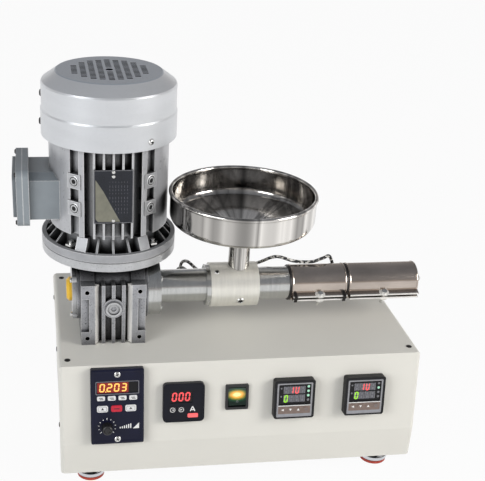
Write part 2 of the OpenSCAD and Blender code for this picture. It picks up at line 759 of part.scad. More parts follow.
// The box ends in a saddle that fits round the motor's body
module terminal_box() {
  y = motor_y - term_w / 2;
  bevel = 12;
  color([0.55, 0.6, 0.62]) difference() {
    at_cabinet() {
      translate([term_x, 0, 0]) rotate([90, 0, 90]) linear_extrude(term_reach + body_r / 2) polygon([
        [y, term_z], [y + term_w, term_z], [y + term_w, term_z + term_h - bevel / 2],
        [y + term_w - bevel, term_z + term_h], [y + bevel, term_z + term_h], [y, term_z + term_h - bevel / 2]]);
      translate([term_x, y - term_lip, term_z - term_lip]) rotate([90, 0, 90])
        linear_extrude(term_rim_t) polygon(rounded(term_w + 2 * term_lip, term_h + 2 * term_lip, 8));
    }
    on_motor() translate([0, 0, body_z]) cylinder(r = body_r + fit_gap / 2, h = body_len);
  }
}

module terminal_lid() {
  crown = 0.6 * term_rim_t;
  w = term_w + 2 * term_lip;
  h = term_h + 2 * term_lip;
  color([0.58, 0.63, 0.65]) at_cabinet() translate([lid_x, motor_y - w / 2, term_z - term_lip])
    rotate([90, 0, 90]) {
      linear_extrude(term_rim_t) polygon(rounded(w, h, 8));
      translate([8, 8, -crown]) linear_extrude(crown) polygon(rounded(w - 16, h - 16, 6));
    }
}

module cable_gland() {
  y = motor_y + term_w / 2;
  color([0.12, 0.12, 0.13]) at_cabinet() translate([term_x + term_rim_t + gland_r + 3, y, term_z + term_h / 2])
    rotate([-90, 0, 0]) difference() {
      union() {
        cylinder(r = gland_r + 1.5, h = 7, $fn = 6);
        translate([0, 0, 7]) cylinder(r = gland_r, h = 9);
      }
      translate([0, 0, 3]) cylinder(r = gland_r - 3.5, h = 20);
    }
}

module output_flange() {
  color([0.74, 0.74, 0.72]) on_barrel() {
    tube(out_r, bore_r, out_x, out_t);
  }
}

module rear_barrel() {
  color([0.7, 0.71, 0.73]) on_barrel() tube(tube_r, bore_r, rear_x, rear_len);
}

module barrel_collar() {
  color([0.78, 0.78, 0.78]) on_barrel() tube(feed_r - 2, tube_r + fit_gap, feed_x - collar_w, collar_w);
}

module feed_block() {
  color([0.8, 0.8, 0.77]) difference() {
    on_barrel() tube(feed_r, bore_r, feed_x, feed_len);
    on_hopper() translate([0, 0, pipe_foot]) cylinder(r = pipe_r + fit_gap, h = feed_r);
    on_hopper() cylinder(r = pipe_r - pipe_t, h = feed_r);
  }
}

module front_barrel() {
  color([0.7, 0.71, 0.73]) on_barrel() tube(tube_r, bore_r, front_x, barrel_end - front_x);
}

// The screw has a plain shank in the gearbox and a helical flight from the feed block to the nozzle
module feed_screw() {
  flight_x = feed_x + 4;
  flight_len = barrel_end - 12 - flight_x;
  color([0.72, 0.72, 0.74]) on_barrel() {
    translate([0, 0, gear_x]) cylinder(r = min(screw_r, output_bore_r - screw_gap), h = flight_x - gear_x);
    translate([0, 0, flight_x]) linear_extrude(flight_len, twist = -360 * flight_len / screw_pitch,
      slices = round(7 * flight_len / screw_pitch)) union() {
        circle(core_r, $fn = 12);
        polygon(concat([[0, 0]], arc([0, 0], screw_r, -28, 28, 2)));
      }
  }
}

module heater_band(x, length) {
  turn = slit_drop - 90;
  color([0.75, 0.72, 0.7]) on_barrel() translate([0, 0, x]) difference() {
    linear_extrude(length) union() {
      difference() {
        circle(heat_r);
        circle(tube_r + fit_gap);
        rotate(turn) translate([0, -slit_w / 2]) square([2 * heat_r, slit_w]);
      }
      rotate(turn) for (s = [-1, 1])
        translate([heat_r - heat_t / 2, s * (slit_w + edge_t) / 2 - edge_t / 2])
          square([edge_h + heat_t / 2, edge_t]);
    }
    translate([0, 0, length / 2]) rotate([0, 0, turn]) translate([clamp_at, 0, 0]) rotate([90, 0, 0])
      cylinder(r = clamp_r + fit_gap, h = 40, center = true);
  }
}
module heater_rear() { heater_band(heat1_x, heat1_len); }
module heater_front() { heater_band(heat2_x, heat2_len); }

// A clamp screw through each heater's edges, with its head above and its nut below
module heater_clamps() {
  turn = slit_drop - 90;
  edge = slit_w / 2 + edge_t;
  color([0.8, 0.8, 0.8]) on_barrel()
    for (x = [heat1_x + heat1_len / 2, heat2_x + heat2_len / 2])
      translate([0, 0, x]) rotate([0, 0, turn]) translate([clamp_at, 0, 0]) rotate([-90, 0, 0]) {
        translate([0, 0, -edge]) cylinder(r = clamp_r, h = 2 * edge + clamp_tail);
        translate([0, 0, -edge - 3]) cylinder(r = 3.2, h = 3);
        translate([0, 0, edge]) cylinder(r = 3.2, h = 2.5, $fn = 6);
      }
}

// A terminal block at the back of each heater
module heater_blocks() {
  color([0.85, 0.83, 0.78]) difference() {
    at_cabinet() for (x = [heat1_x, heat2_x])
      translate([x + block_in, axis_y + heat_r - 4, axis_z - block_w / 2]) cube([block_w, block_h + 4, block_w]);
    on_barrel() translate([0, 0, heat1_x - 1]) cylinder(r = heat_r + fit_gap / 2, h = barrel_end - heat1_x);
  }
}

// Each lead leaves its block towards the gearbox, lies along the barrel and dips to the grommet behind it
module heater_leads() {
  block_y = axis_y + heat_r + block_h / 2;
  back = axis_y + feed_r + 2 * lead_r;
  over = axis_z + heat_r + 1.5 * lead_r;
  behind = axis_z - 3 * lead_r;
  apart = 2 * lead_r + 2;
  stub = block_h / 2;
  starts = [for (x = [heat1_x, heat2_x]) [for (i = [0:2]) [x + block_in - i * stub, block_y, axis_z]]];
  loop = [
    [heat2_x - block_w, axis_y + heat_r + lead_r, axis_z + heat_r],
    [heat2_x - 2 * block_w, axis_y + heat_r / 3, over + 1.5 * lead_r],
    [heat1_x + 2 * block_w, axis_y + heat_r / 5, over],
    [heat1_x + block_w / 2, axis_y + heat_r / 3, over]];
  run = [
    [front_x + bare_len / 2, axis_y + tube_r / 3, axis_z + tube_r + lead_r + 1],
    [front_x + 3 * lead_r, back, axis_z + 2 * lead_r],
    [throat, back, behind],
    [feed_x, back, behind],
    [feed_x - collar_w - 3 * lead_r, back, behind],
    [grommet_at.x, grommet_at.y - 6 * apart, behind - lead_r],
    [grommet_at.x - apart / 2, grommet_at.y - apart, axis_z / 2]];
  ends = [for (i = [2:-1:0]) [grommet_at.x - apart / 2, grommet_at.y, grommet_h + i * stub]];
  color([0.2, 0.2, 0.2]) at_cabinet() for (lead = [0, 1])
    sweep(smooth_path(concat(starts[lead], lead == 1 ? loop : [],
      [for (i = [1 - lead:len(run) - 1]) run[i] + lead * apart * [1, 1, 1]],
      [for (p = ends) p + lead * apart * [1, 0, 0]]), 4), lead_r);
}

module lead_grommet() {
  color([0.1, 0.1, 0.1]) at_cabinet() translate([grommet_at.x, grommet_at.y, 0]) {
    rotate_extrude() polygon([
      [0, 0], [grommet_r, 0], [grommet_r, grommet_h - 2], [grommet_r - 2, grommet_h], [0, grommet_h]]);
    translate([0, 0, -2 * sheet]) cylinder(r = grommet_r - 3 - fit_gap, h = 2 * sheet);
  }
}

module nozzle_nut() {
  color([0.1, 0.1, 0.1]) on_barrel() translate([0, 0, barrel_end]) difference() {
    cylinder(r = nut_r, h = nut_len, $fn = 6);
    translate([0, 0, -1]) cylinder(r = hole_r, h = nut_len + 2);
  }
}

module nozzle_tip() {
  color([0.85, 0.85, 0.86]) on_barrel() translate([0, 0, tip_x]) rotate_extrude() polygon([
    [hole_r, 0], [tip_r, 0], [tip_r, tip_len - 2], [tip_r - 2, tip_len], [hole_r, tip_len]]);
}

// Half section of the hopper, drawn in by t from its outside
function bowl_side(t) =
  let (fall = atan(bowl_floor / (bowl_r - pipe_r)), r = bowl_bend - t,
       c = [bowl_r - bowl_bend, bowl_base + bowl_floor + bowl_bend * tan((90 - fall) / 2) - bowl_bend / 3])
  arc(c, r, fall - 90, 0, 8);

module hopper_bowl() {
  neck = pipe_r + fit_gap;
  low = bowl_side(0)[0];
  fall = atan(bowl_floor / (bowl_r - pipe_r));
  foot = low.y - (low.x - neck - bowl_t) * tan(fall);
  color([0.8, 0.8, 0.79]) on_hopper() {
    rotate_extrude($fn = 96) polygon(concat(
      [[neck, foot - neck_h], [neck + bowl_t, foot - neck_h], [neck + bowl_t, foot]],
      bowl_side(0), [[bowl_r, bowl_up - rim_r], [bowl_r - bowl_t, bowl_up - rim_r]],
      [for (i = [8:-1:0]) bowl_side(bowl_t)[i]], [[neck, foot + bowl_t]]));
    rotate_extrude($fn = 96) translate([bowl_r - bowl_t / 2, bowl_up - rim_r]) circle(rim_r, $fn = 24);
  }
}

module hopper_pipe() {
  fall = atan(bowl_floor / (bowl_r - pipe_r));
  low = bowl_side(0)[0];
  top = low.y - (low.x - pipe_r) * tan(fall);
  color([0.8, 0.8, 0.79]) on_hopper() translate([0, 0, pipe_foot]) difference() {
    cylinder(r = pipe_r, h = top - pipe_foot);
    translate([0, 0, -1]) cylinder(r = pipe_r - pipe_t, h = top - pipe_foot + 2);
  }
}

// A panel instrument: a bezel in front of the panel and a body through its cut-out
module instrument(x, top, w, h, out, deep, r) {
  translate([x, -top - h, 0]) {
    linear_extrude(out) polygon(rounded(w, h, r));
    translate([bezel_lap, bezel_lap, -deep]) cube([w - 2 * bezel_lap, h - 2 * bezel_lap, deep]);
  }
}

// A display window, given from the top left corner of its instrument
module window_at(x, top, out, at, size, t) {
  translate([x + at.x, -top - at.y - size.y, out - window_sink - t]) cube([size.x, size.y, t]);
}

module speed_controller() {
  color([0.05, 0.06, 0.14]) on_panel() difference() {
    instrument(speed_x, speed_top, speed_w, speed_h, speed_out, speed_deep, 2);
    window_at(speed_x, speed_top, speed_out, speed_window_at, speed_window, window_t);
    window_at(speed_x, speed_top, speed_out + 5, speed_window_at, speed_window, 5);
    translate([knob_x, -knob_s, speed_out - knob_pin_deep - move_gap])
      cylinder(r = knob_pin_r + move_gap, h = knob_pin_deep + 2);
  }
}

module speed_knob() {
  color([0.04, 0.04, 0.05]) on_panel() translate([knob_x, -knob_s, speed_out + move_gap]) {
    translate([0, 0, -knob_pin_deep]) cylinder(r = knob_pin_r, h = knob_pin_deep + 1);
    rotate_extrude() polygon([
      [0, 0], [knob_r, 0], [knob_r - knob_edge / 3, knob_h - knob_edge / 2], [knob_r - knob_edge, knob_h],
      [0, knob_h]]);
  }
}

module ammeter() {
  color([0.05, 0.06, 0.1]) on_panel() difference() {
    instrument(meter_x, meter_top, din, din, meter_out, din_deep, 5);
    window_at(meter_x, meter_top, meter_out, meter_window_at, meter_window, window_t);
    window_at(meter_x, meter_top, meter_out + 5, meter_window_at, meter_window, 5);
  }
}

module temperature_controller(x) {
  color([0.1, 0.1, 0.11]) on_panel() difference() {
    instrument(x, pid_top, din, din, pid_out, din_deep, 3);
    window_at(x, pid_top, pid_out, pid_window_at, pid_window, window_t);
    window_at(x, pid_top, pid_out + 5, pid_window_at, pid_window, 5);
  }
}
module temperature_controller_1() { temperature_controller(pid_x); }
module temperature_controller_2() { temperature_controller(pid_x + pid_pitch); }

module display_windows() {
  color([0.08, 0.02, 0.02]) on_panel() {
    window_at(speed_x, speed_top, speed_out, speed_window_at, speed_window, window_t);
    window_at(meter_x, meter_top, meter_out, meter_window_at, meter_window, window_t);
    for (i = [0, 1])
      window_at(pid_x + i * pid_pitch, pid_top, pid_out, pid_window_at, pid_window, window_t);
  }
}

// A key, given by its middle from the top left corner of its instrument
module key(x, top, out, at, size) {
  translate([x + at.x - size.x / 2, -top - at.y - size.y / 2, out])
    linear_extrude(key_h) polygon(rounded(size.x, size.y, size.y / 4));
}

module panel_keys() {
  color([0.85, 0.85, 0.85]) on_panel() {
    for (i = [0:3])
      key(speed_x, speed_top, speed_out, small_key_at + [i * small_key_step, 0], small_key);
    for (i = [0:2])
      key(speed_x, speed_top, speed_out, wide_key_at + [i * wide_key_step, 0], wide_key);
    for (i = [0, 1])
      key(meter_x, meter_top, meter_out, meter_key_at + [i * meter_key_step, 0], meter_key);
    key(meter_x, meter_top, meter_out, bar_key_at, bar_key);
    for (i = [0, 1], k = [0:3])
      key(pid_x + i * pid_pitch, pid_top, pid_out, pid_key_at + [k * pid_key_step, 0], pid_key);
  }
}

module rocker_frame() {
  wall = rocker_rim - bezel_lap;
  deep = rocker_arc + rocker_sink + 4;
  color([0.05, 0.05, 0.05]) on_panel() difference() {
    instrument(rocker_x, rocker_top, rocker_w, rocker_h, rocker_out, deep, 1.5);
    translate([rocker_x + rocker_rim, -rocker_top - rocker_h + rocker_rim, wall - deep + 2])
      cube([rocker_open_w, rocker_open_h, deep + rocker_out]);
  }
}

// The rocker is a round bar with two flat faces that meet in a shallow valley
module rocker() {
  w = rocker_open_w - 2 * move_gap;
  half = rocker_turn / 2;
  lift = rocker_out + rocker_sink - 1;
  color([0.3, 0.6, 0.3]) on_panel() translate([rocker_mid_x - w / 2, -rocker_mid_s, -rocker_sink])
    rotate([-half, 0, 0]) rotate([90, 0, 90]) linear_extrude(w) intersection() {
      circle(rocker_arc);
      polygon([[-far, -4], [far, -4], [far, lift + far * tan(half)], [0, lift], [-far, lift + far * tan(half)]]);
    }
}

cabinet_cover();
left_side();
right_side();
rear_panel();
base_plate();
foot_stems();
foot_cups();
foot_pads();
power_inlet();
gearbox_housing();
bearing_cover();
output_cap();
oil_plug();
input_flange();
motor_flange();
motor_body();
nameplate();
cooling_fan();
fan_cover();
terminal_box();
terminal_lid();
cable_gland();
output_flange();
rear_barrel();
barrel_collar();
feed_block();
front_barrel();
feed_screw();
heater_rear();
heater_front();
heater_clamps();
heater_blocks();
heater_leads();
lead_grommet();
nozzle_nut();
nozzle_tip();
hopper_bowl();
hopper_pipe();
speed_controller();
speed_knob();
ammeter();
rocker_frame();
rocker();
temperature_controller_1();
temperature_controller_2();
display_windows();
panel_keys();
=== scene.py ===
import math
import bpy
from mathutils import Matrix, Vector


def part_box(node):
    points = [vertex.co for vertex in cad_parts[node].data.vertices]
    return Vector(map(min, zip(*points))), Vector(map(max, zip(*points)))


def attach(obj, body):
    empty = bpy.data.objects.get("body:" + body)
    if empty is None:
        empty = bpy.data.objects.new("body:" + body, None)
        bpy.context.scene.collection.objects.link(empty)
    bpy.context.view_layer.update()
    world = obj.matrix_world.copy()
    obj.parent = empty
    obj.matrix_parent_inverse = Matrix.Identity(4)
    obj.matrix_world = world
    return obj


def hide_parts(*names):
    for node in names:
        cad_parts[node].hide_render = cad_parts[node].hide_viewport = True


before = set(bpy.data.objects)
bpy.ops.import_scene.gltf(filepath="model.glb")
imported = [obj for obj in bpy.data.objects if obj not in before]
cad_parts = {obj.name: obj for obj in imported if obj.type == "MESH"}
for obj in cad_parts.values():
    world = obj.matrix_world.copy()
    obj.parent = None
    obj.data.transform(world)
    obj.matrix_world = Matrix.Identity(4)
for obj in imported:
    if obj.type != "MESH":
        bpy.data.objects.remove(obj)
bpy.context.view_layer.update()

# Sizes and places, in millimetres; places are measured from the cabinet's top front left corner
MM = 0.001
CABINET_W = 423.0
CABINET_BACK = 236.0
PANEL_RUN = 15.0
PANEL_DROP = 97.0
AXIS_Y = 89.0
AXIS_Z = 52.0
GEAR_X = 28.0
GEAR_Y = 46.0
GEAR_W = 74.0
COLUMN_W = 16.0
COLUMN_H = 76.0
MOTOR_X = 65.0
MOTOR_Y = 126.0
BODY_R = 68.0
COWL_R = 76.0
FLANGE_FLOOR = 107.0
FLANGE_BOLTS_R = 65.0
BOSS_HEIGHTS = (159.78, 191.4)
LID_FACE = -40.2
PLATE_Z = 177.6
HEAT_R = 21.4
TUBE_R = 19.5
FEED_R = 26.5
BOWL_R = 84.0
FEED_X = 181.19
THROAT = 216.19
FRONT_X = 238.19
HEAT1_X = 279.19
HEAT2_X = 349.19
BARREL_END = 435.19
HEATER_GAP = 3.0
SEAM_TOP = 166.0

# Places of the instruments on the panel: across, down from the top edge, and out of the panel
SPEED_AT = (35, 2.5, 7)
SPEED_W = 60
SPEED_H = 92
METER_AT = (117, 24, 6)
FIRST_AT = (246, 24.5, 10)
SECOND_AT = (330.5, 24.5, 10)
KNOB_AT = (18, 70.38)
GLASS_DEPTH = -0.8
ROCKER_X = 203.5
ROCKER_Y = -45.5
ROCKER_LEAN = math.radians(11)

low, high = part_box("cabinet_cover")
SLOPE = math.atan2(PANEL_RUN, PANEL_DROP)
CABINET = Matrix.Translation((low.x, low.y + PANEL_RUN * MM, high.z)) @ Matrix.Scale(MM, 4)
PANEL = CABINET @ Matrix.Rotation(math.pi / 2 - SLOPE, 4, "X")
MOTOR = CABINET @ Matrix.Translation((MOTOR_X, MOTOR_Y, 0))
BARREL = CABINET @ Matrix.Translation((0, AXIS_Y, AXIS_Z))

# The heaters' slit points forward and a little down: its directions out of the barrel and across the slit
SLIT_ANGLE = 20
SLIT_FREE = 9
SLIT = math.radians(SLIT_ANGLE)
SLIT_OUT = Vector((0, -math.cos(SLIT), -math.sin(SLIT)))
SLIT_ACROSS = Vector((0, -math.sin(SLIT), math.cos(SLIT)))

# Camera, at the photograph's angle for a frame of 485 by 481
FRAME_W = 485
FOCAL_PIXELS = 973.03
SENSOR = 36
CAMERA_AT = (-15.17, -929.28, 574.11)
CAMERA_TURN = (-9.254, -27.672, 2.047)
CAMERA_SHIFT = 0.12


def make_camera():
    yaw, pitch, roll = (math.radians(a) for a in CAMERA_TURN)
    turn = Matrix.Rotation(roll, 3, "Y") @ Matrix.Rotation(pitch, 3, "X") @ Matrix.Rotation(yaw, 3, "Z")
    right, ahead, up = turn.col[0], turn.col[1], turn.col[2]
    axes = Matrix((right, up, -ahead)).transposed()
    data = bpy.data.cameras.new("camera")
    data.sensor_width = SENSOR
    data.lens = FOCAL_PIXELS / FRAME_W * SENSOR
    data.shift_x = CAMERA_SHIFT
    data.shift_y = CAMERA_SHIFT
    data.clip_start = 0.01
    data.clip_end = 50
    camera = bpy.data.objects.new("camera", data)
    bpy.context.scene.collection.objects.link(camera)
    camera.matrix_world = Matrix.Translation(CABINET @ Vector(CAMERA_AT)) @ axes.to_4x4()
    bpy.context.scene.camera = camera


make_camera()
bpy.context.scene.view_settings.view_transform = "Standard"


# Colours, and the nodes that the materials share
def colour(r, g, b):
    def one(c):
        c = c / 255
        return c / 12.92 if c <= 0.04045 else ((c + 0.055) / 1.055) ** 2.4
    return (one(r), one(g), one(b), 1.0)


def grey(level):
    return (level, level, level, 1)


def shade(c, k):
    return tuple(min(1.0, x * k) for x in c[:3]) + (1.0,)


BLACK = grey(0)
WHITE = grey(1)
# the pale edge colour below is the colour of painted edge highlights
EDGE_HIGHLIGHT = colour(236, 236, 235)
# the near black hole colour below is painted shade in holes
HOLE_SHADE = colour(12, 12, 13)
HOLE_DEPTH = 0.0015
UPRIGHT = 0.4
NOISE_LOW = 0.3
NOISE_HIGH = 0.7


def node(tree, kind, values=None, **settings):
    made = tree.nodes.new(kind)
    for key, value in settings.items():
        setattr(made, key, value)
    for key, value in (values or {}).items():
        made.inputs[key].default_value = value
    return made


def blank(name):
    made = bpy.data.materials.new(name)
    made.use_nodes = True
    tree = made.node_tree
    tree.nodes.clear()
    out = node(tree, "ShaderNodeOutputMaterial")
    skin = node(tree, "ShaderNodeBsdfPrincipled")
    tree.links.new(skin.outputs[0], out.inputs["Surface"])
    return made, tree, skin


def coordinate(tree, kind="Object"):
    return node(tree, "ShaderNodeTexCoord").outputs[kind]


def mapped(tree, values):
    made = node(tree, "ShaderNodeMapping", values)
    tree.links.new(coordinate(tree), made.inputs["Vector"])
    return made.outputs[0]


def split(tree, vector):
    made = node(tree, "ShaderNodeSeparateXYZ")
    tree.links.new(vector, made.inputs[0])
    return made.outputs


def maths(tree, operation, first, second):
    made = node(tree, "ShaderNodeMath", operation=operation)
    tree.links.new(first, made.inputs[0])
    if isinstance(second, float):
        made.inputs[1].default_value = second
    else:
        tree.links.new(second, made.inputs[1])
    return made.outputs[0]


def noise(tree, scale, detail, stretch=(1, 1, 1)):
    made = node(tree, "ShaderNodeTexNoise", {"Scale": scale, "Detail": detail, "Roughness": 0.55})
    tree.links.new(mapped(tree, {"Scale": stretch}), made.inputs["Vector"])
    return made.outputs["Fac"]


def ramp(tree, source, stops):
    made = node(tree, "ShaderNodeValToRGB")
    band = made.color_ramp
    while len(band.elements) < len(stops):
        band.elements.new(0.5)
    for element, (place, tint) in zip(band.elements, stops):
        element.position = place
        element.color = tint
    tree.links.new(source, made.inputs[0])
    return made.outputs[0]


def mixed(tree, share, under, over):
    made = node(tree, "ShaderNodeMix", data_type="RGBA")
    tree.links.new(share, made.inputs["Factor"])
    tree.links.new(under, made.inputs["A"])
    made.inputs["B"].default_value = over
    return made.outputs["Result"]


def multiplied(tree, first, second):
    made = node(tree, "ShaderNodeMix", {"Factor": 1.0}, data_type="RGBA", blend_type="MULTIPLY")
    tree.links.new(first, made.inputs["A"])
    tree.links.new(second, made.inputs["B"])
    return made.outputs["Result"]


def roughened(tree, skin, source, rough, spread):
    span = node(tree, "ShaderNodeMapRange", {
        "From Min": NOISE_LOW, "From Max": NOISE_HIGH,
        "To Min": max(0.02, rough - spread), "To Max": rough + spread})
    tree.links.new(source, span.inputs["Value"])
    tree.links.new(span.outputs[0], skin.inputs["Roughness"])


def bumped(tree, skin, height, strength, depth):
    made = node(tree, "ShaderNodeBump", {"Strength": strength, "Distance": depth})
    tree.links.new(height, made.inputs["Height"])
    tree.links.new(made.outputs[0], skin.inputs["Normal"])


# Wear and painted light: patches of another tone are wear, bright edges are painted highlight, and darkening
# where little of the surroundings is open is painted shade
def worn_patches(tree, tint, grain, worn, share):
    patch = noise(tree, grain * 4, 8.0)
    return mixed(tree, ramp(tree, patch, [(1 - share, BLACK), (1.06 - share, WHITE)]), tint, worn)


def painted_edge_highlight(tree, tint, radius):
    soft = node(tree, "ShaderNodeBevel", {"Radius": radius}, samples=4)
    along = node(tree, "ShaderNodeVectorMath", operation="DOT_PRODUCT")
    tree.links.new(soft.outputs[0], along.inputs[0])
    tree.links.new(coordinate(tree, "Normal"), along.inputs[1])
    rim = ramp(tree, along.outputs["Value"], [(0.88, grey(0.8)), (0.985, BLACK)])
    return mixed(tree, rim, tint, EDGE_HIGHLIGHT)


def painted_crevice_shade(tree, tint, reach, stops):
    hidden = node(tree, "ShaderNodeAmbientOcclusion", {"Distance": reach}, samples=8)
    return multiplied(tree, tint, ramp(tree, hidden.outputs["AO"], stops))


# A disc of another colour above a height, painted darker and bluer as a painted reflection of a dark ceiling,
# with the walls of the holes through it painted near black as painted shade
def painted_disc_and_hole_shade(tree, tint, height, reflected_disc):
    z = split(tree, coordinate(tree))["Z"]
    lean = split(tree, coordinate(tree, "Normal"))["Z"]
    topped = mixed(tree, maths(tree, "GREATER_THAN", z, height), tint, reflected_disc)
    near = maths(tree, "GREATER_THAN", z, height - HOLE_DEPTH)
    wall = maths(tree, "MULTIPLY", near, maths(tree, "LESS_THAN", lean, UPRIGHT))
    return mixed(tree, wall, topped, HOLE_SHADE)


# A surface with broad changes of tone, fine changes of roughness and bump, and the wear, painted edge
# highlights, painted crevice shade and painted top disc that are asked for
def material(name, c, rough, metal=0.0, grain=70, spread=0.08, fine=1500, bump=0.08, depth=0.0003,
             stretch=(1, 1, 1), specular=0.5, rough_spread=0.08, worn=None, worn_share=0.34,
             shade_reach=0.0, darkest_shade=0.06, edge=0.0, cap=None):
    made, tree, skin = blank(name)
    skin.inputs["Metallic"].default_value = metal
    skin.inputs["Specular IOR Level"].default_value = specular
    broad = noise(tree, grain, 5.0, stretch)
    small = noise(tree, fine, 3.0, stretch)
    tint = ramp(tree, broad, [(NOISE_LOW, shade(c, 1 - spread)), (NOISE_HIGH, shade(c, 1 + spread))])
    if worn:
        tint = worn_patches(tree, tint, grain, worn, worn_share)
    # edges lightened in the colour: painted highlight
    if edge:
        tint = painted_edge_highlight(tree, tint, edge)
    # a top disc painted as a reflection, with painted shade in its holes
    if cap:
        tint = painted_disc_and_hole_shade(tree, tint, cap[0], cap[1])
    # darkened where little of the surroundings is open: painted shade
    if shade_reach:
        tint = painted_crevice_shade(tree, tint, shade_reach, [(0.3, grey(darkest_shade)), (0.85, WHITE)])
    tree.links.new(tint, skin.inputs["Base Color"])
    roughened(tree, skin, small, rough, rough_spread)
    bumped(tree, skin, small, bump, depth)
    return made


# Polished sheet with light and dark bands round an upright axis, painted reflections standing in for the
# streaks of a spun bowl, and painted shade where little of the surroundings is open
def painted_reflection_streaks(name, c, axis, rough):
    made, tree, skin = blank(name)
    skin.inputs["Metallic"].default_value = 1.0
    place = split(tree, mapped(tree, {"Location": (-axis.x, -axis.y, 0)}))
    angle = maths(tree, "ARCTAN2", place["X"], maths(tree, "MULTIPLY", place["Y"], -1.0))
    bands = node(tree, "ShaderNodeTexNoise", {"Scale": 1.7, "Detail": 1.6, "Roughness": 0.5},
                 noise_dimensions="1D")
    tree.links.new(angle, bands.inputs["W"])
    levels = ((0.28, 0.3), (0.42, 0.95), (0.5, 0.48), (0.58, 1.35), (0.72, 0.55))
    tint = ramp(tree, bands.outputs["Fac"], [(stop, shade(c, level)) for stop, level in levels])
    # darker inside the bowl, where little is open: painted shade
    tint = painted_crevice_shade(tree, tint, 0.07, [(0.35, (0.34, 0.335, 0.33, 1)), (0.92, WHITE)])
    tree.links.new(tint, skin.inputs["Base Color"])
    small = noise(tree, 260, 3.0)
    roughened(tree, skin, small, rough, 0.05)
    bumped(tree, skin, small, 0.03, 0.0003)
    return made


def glow(name, c, strength, edge):
    made, tree, skin = blank(name)
    skin.inputs["Roughness"].default_value = 0.35
    skin.inputs["Base Color"].default_value = edge
    skin.inputs["Emission Strength"].default_value = strength
    tint = ramp(tree, noise(tree, 900, 2.0), [(0.35, shade(c, 0.85)), (0.65, c)])
    tree.links.new(tint, skin.inputs["Emission Color"])
    return made


def thread_with_painted_shade(name, c, pitch):
    made, tree, skin = blank(name)
    skin.inputs["Metallic"].default_value = 0.9
    skin.inputs["Roughness"].default_value = 0.42
    wave = node(tree, "ShaderNodeTexWave", {"Scale": 0.314 / pitch, "Distortion": 0.0},
                wave_type="BANDS", bands_direction="Z")
    tree.links.new(coordinate(tree), wave.inputs["Vector"])
    # dark and light bands along the thread: painted shade in its roots and painted highlight on its crests
    tint = ramp(tree, wave.outputs["Fac"], [(0.1, shade(c, 0.45)), (0.8, shade(c, 1.2))])
    tree.links.new(tint, skin.inputs["Base Color"])
    bumped(tree, skin, wave.outputs["Fac"], 0.8, 0.0008)
    return made


def sleeve(name):
    made, tree, skin = blank(name)
    skin.inputs["Roughness"].default_value = 0.62
    cells = node(tree, "ShaderNodeTexVoronoi", {"Scale": 420.0})
    tree.links.new(mapped(tree, {"Rotation": (0.5, 0.6, 0.4)}), cells.inputs["Vector"])
    tint = ramp(tree, cells.outputs["Color"], [
        (0.0, colour(20, 20, 22)), (0.55, colour(34, 34, 36)), (0.62, colour(206, 204, 198)),
        (1.0, colour(232, 230, 224))])
    tree.links.new(tint, skin.inputs["Base Color"])
    bumped(tree, skin, cells.outputs["Distance"], 0.6, 0.0006)
    return made


# A green lens lit from within, with a wide amber-to-white patch above its middle painted into its colour and
# glow: a painted highlight of its upper face
def rocker_glow_and_painted_highlight(name):
    made, tree, skin = blank(name)
    skin.inputs["Roughness"].default_value = 0.2
    skin.inputs["Coat Weight"].default_value = 0.4
    skin.inputs["Emission Strength"].default_value = 0.45
    widen = 0.55
    middle = PANEL @ Vector((ROCKER_X, ROCKER_Y + 2.9, 2.0))
    around = mapped(tree, {"Location": (-widen * middle.x, -middle.y, -middle.z), "Scale": (widen, 1, 1)})
    far = node(tree, "ShaderNodeVectorMath", operation="LENGTH")
    tree.links.new(around, far.inputs[0])
    span = node(tree, "ShaderNodeMapRange", {"From Min": 0.0016, "From Max": 0.0098})
    tree.links.new(far.outputs["Value"], span.inputs["Value"])
    speck = node(tree, "ShaderNodeMath", operation="MULTIPLY_ADD")
    speck.inputs[1].default_value = 0.16
    tree.links.new(noise(tree, 500, 3.0), speck.inputs[0])
    tree.links.new(span.outputs[0], speck.inputs[2])
    # the white and amber stops are painted highlight, the green ones the lens
    tint = ramp(tree, speck.outputs[0], [
        (0.1, colour(255, 226, 150)), (0.3, colour(226, 160, 62)), (0.55, colour(112, 112, 44)),
        (0.72, colour(22, 60, 38)), (1.0, colour(8, 26, 18))])
    tree.links.new(tint, skin.inputs["Base Color"])
    tree.links.new(tint, skin.inputs["Emission Color"])
    return made


# Paint and castings; the castings, the fan cover and the terminal box have painted edge highlights and
# painted crevice shade, and the fan cover a painted top disc
paint = material("cabinet_paint", colour(224, 222, 214), 0.42, grain=9, spread=0.015, fine=2600, bump=0.12)
casting = material("motor_casting", colour(184, 185, 188), 0.34, 0.5, grain=60, spread=0.12, fine=900,
                   stretch=(1, 1, 0.3), bump=0.2, worn=colour(140, 141, 145), worn_share=0.3,
                   shade_reach=0.016, darkest_shade=0.02, edge=0.0015)
gear_cast = material("gear_casting", colour(160, 161, 165), 0.32, 0.6, grain=80, spread=0.16, fine=700,
                     bump=0.35, depth=0.0005, worn=colour(104, 105, 109), worn_share=0.36,
                     shade_reach=0.026, darkest_shade=0.01, edge=0.0013)
flange_cast = material("flange_casting", colour(186, 187, 189), 0.33, 0.55, grain=70, spread=0.1, fine=800,
                       bump=0.25, worn=colour(140, 141, 144), worn_share=0.3,
                       shade_reach=0.02, darkest_shade=0.03, edge=0.0008)
flange_ring = material("motor_flange_casting", colour(164, 165, 168), 0.46, 0.3, grain=70, spread=0.1,
                       fine=800, bump=0.25, worn=colour(122, 123, 126), worn_share=0.3,
                       shade_reach=0.02, darkest_shade=0.02, edge=0.0014)
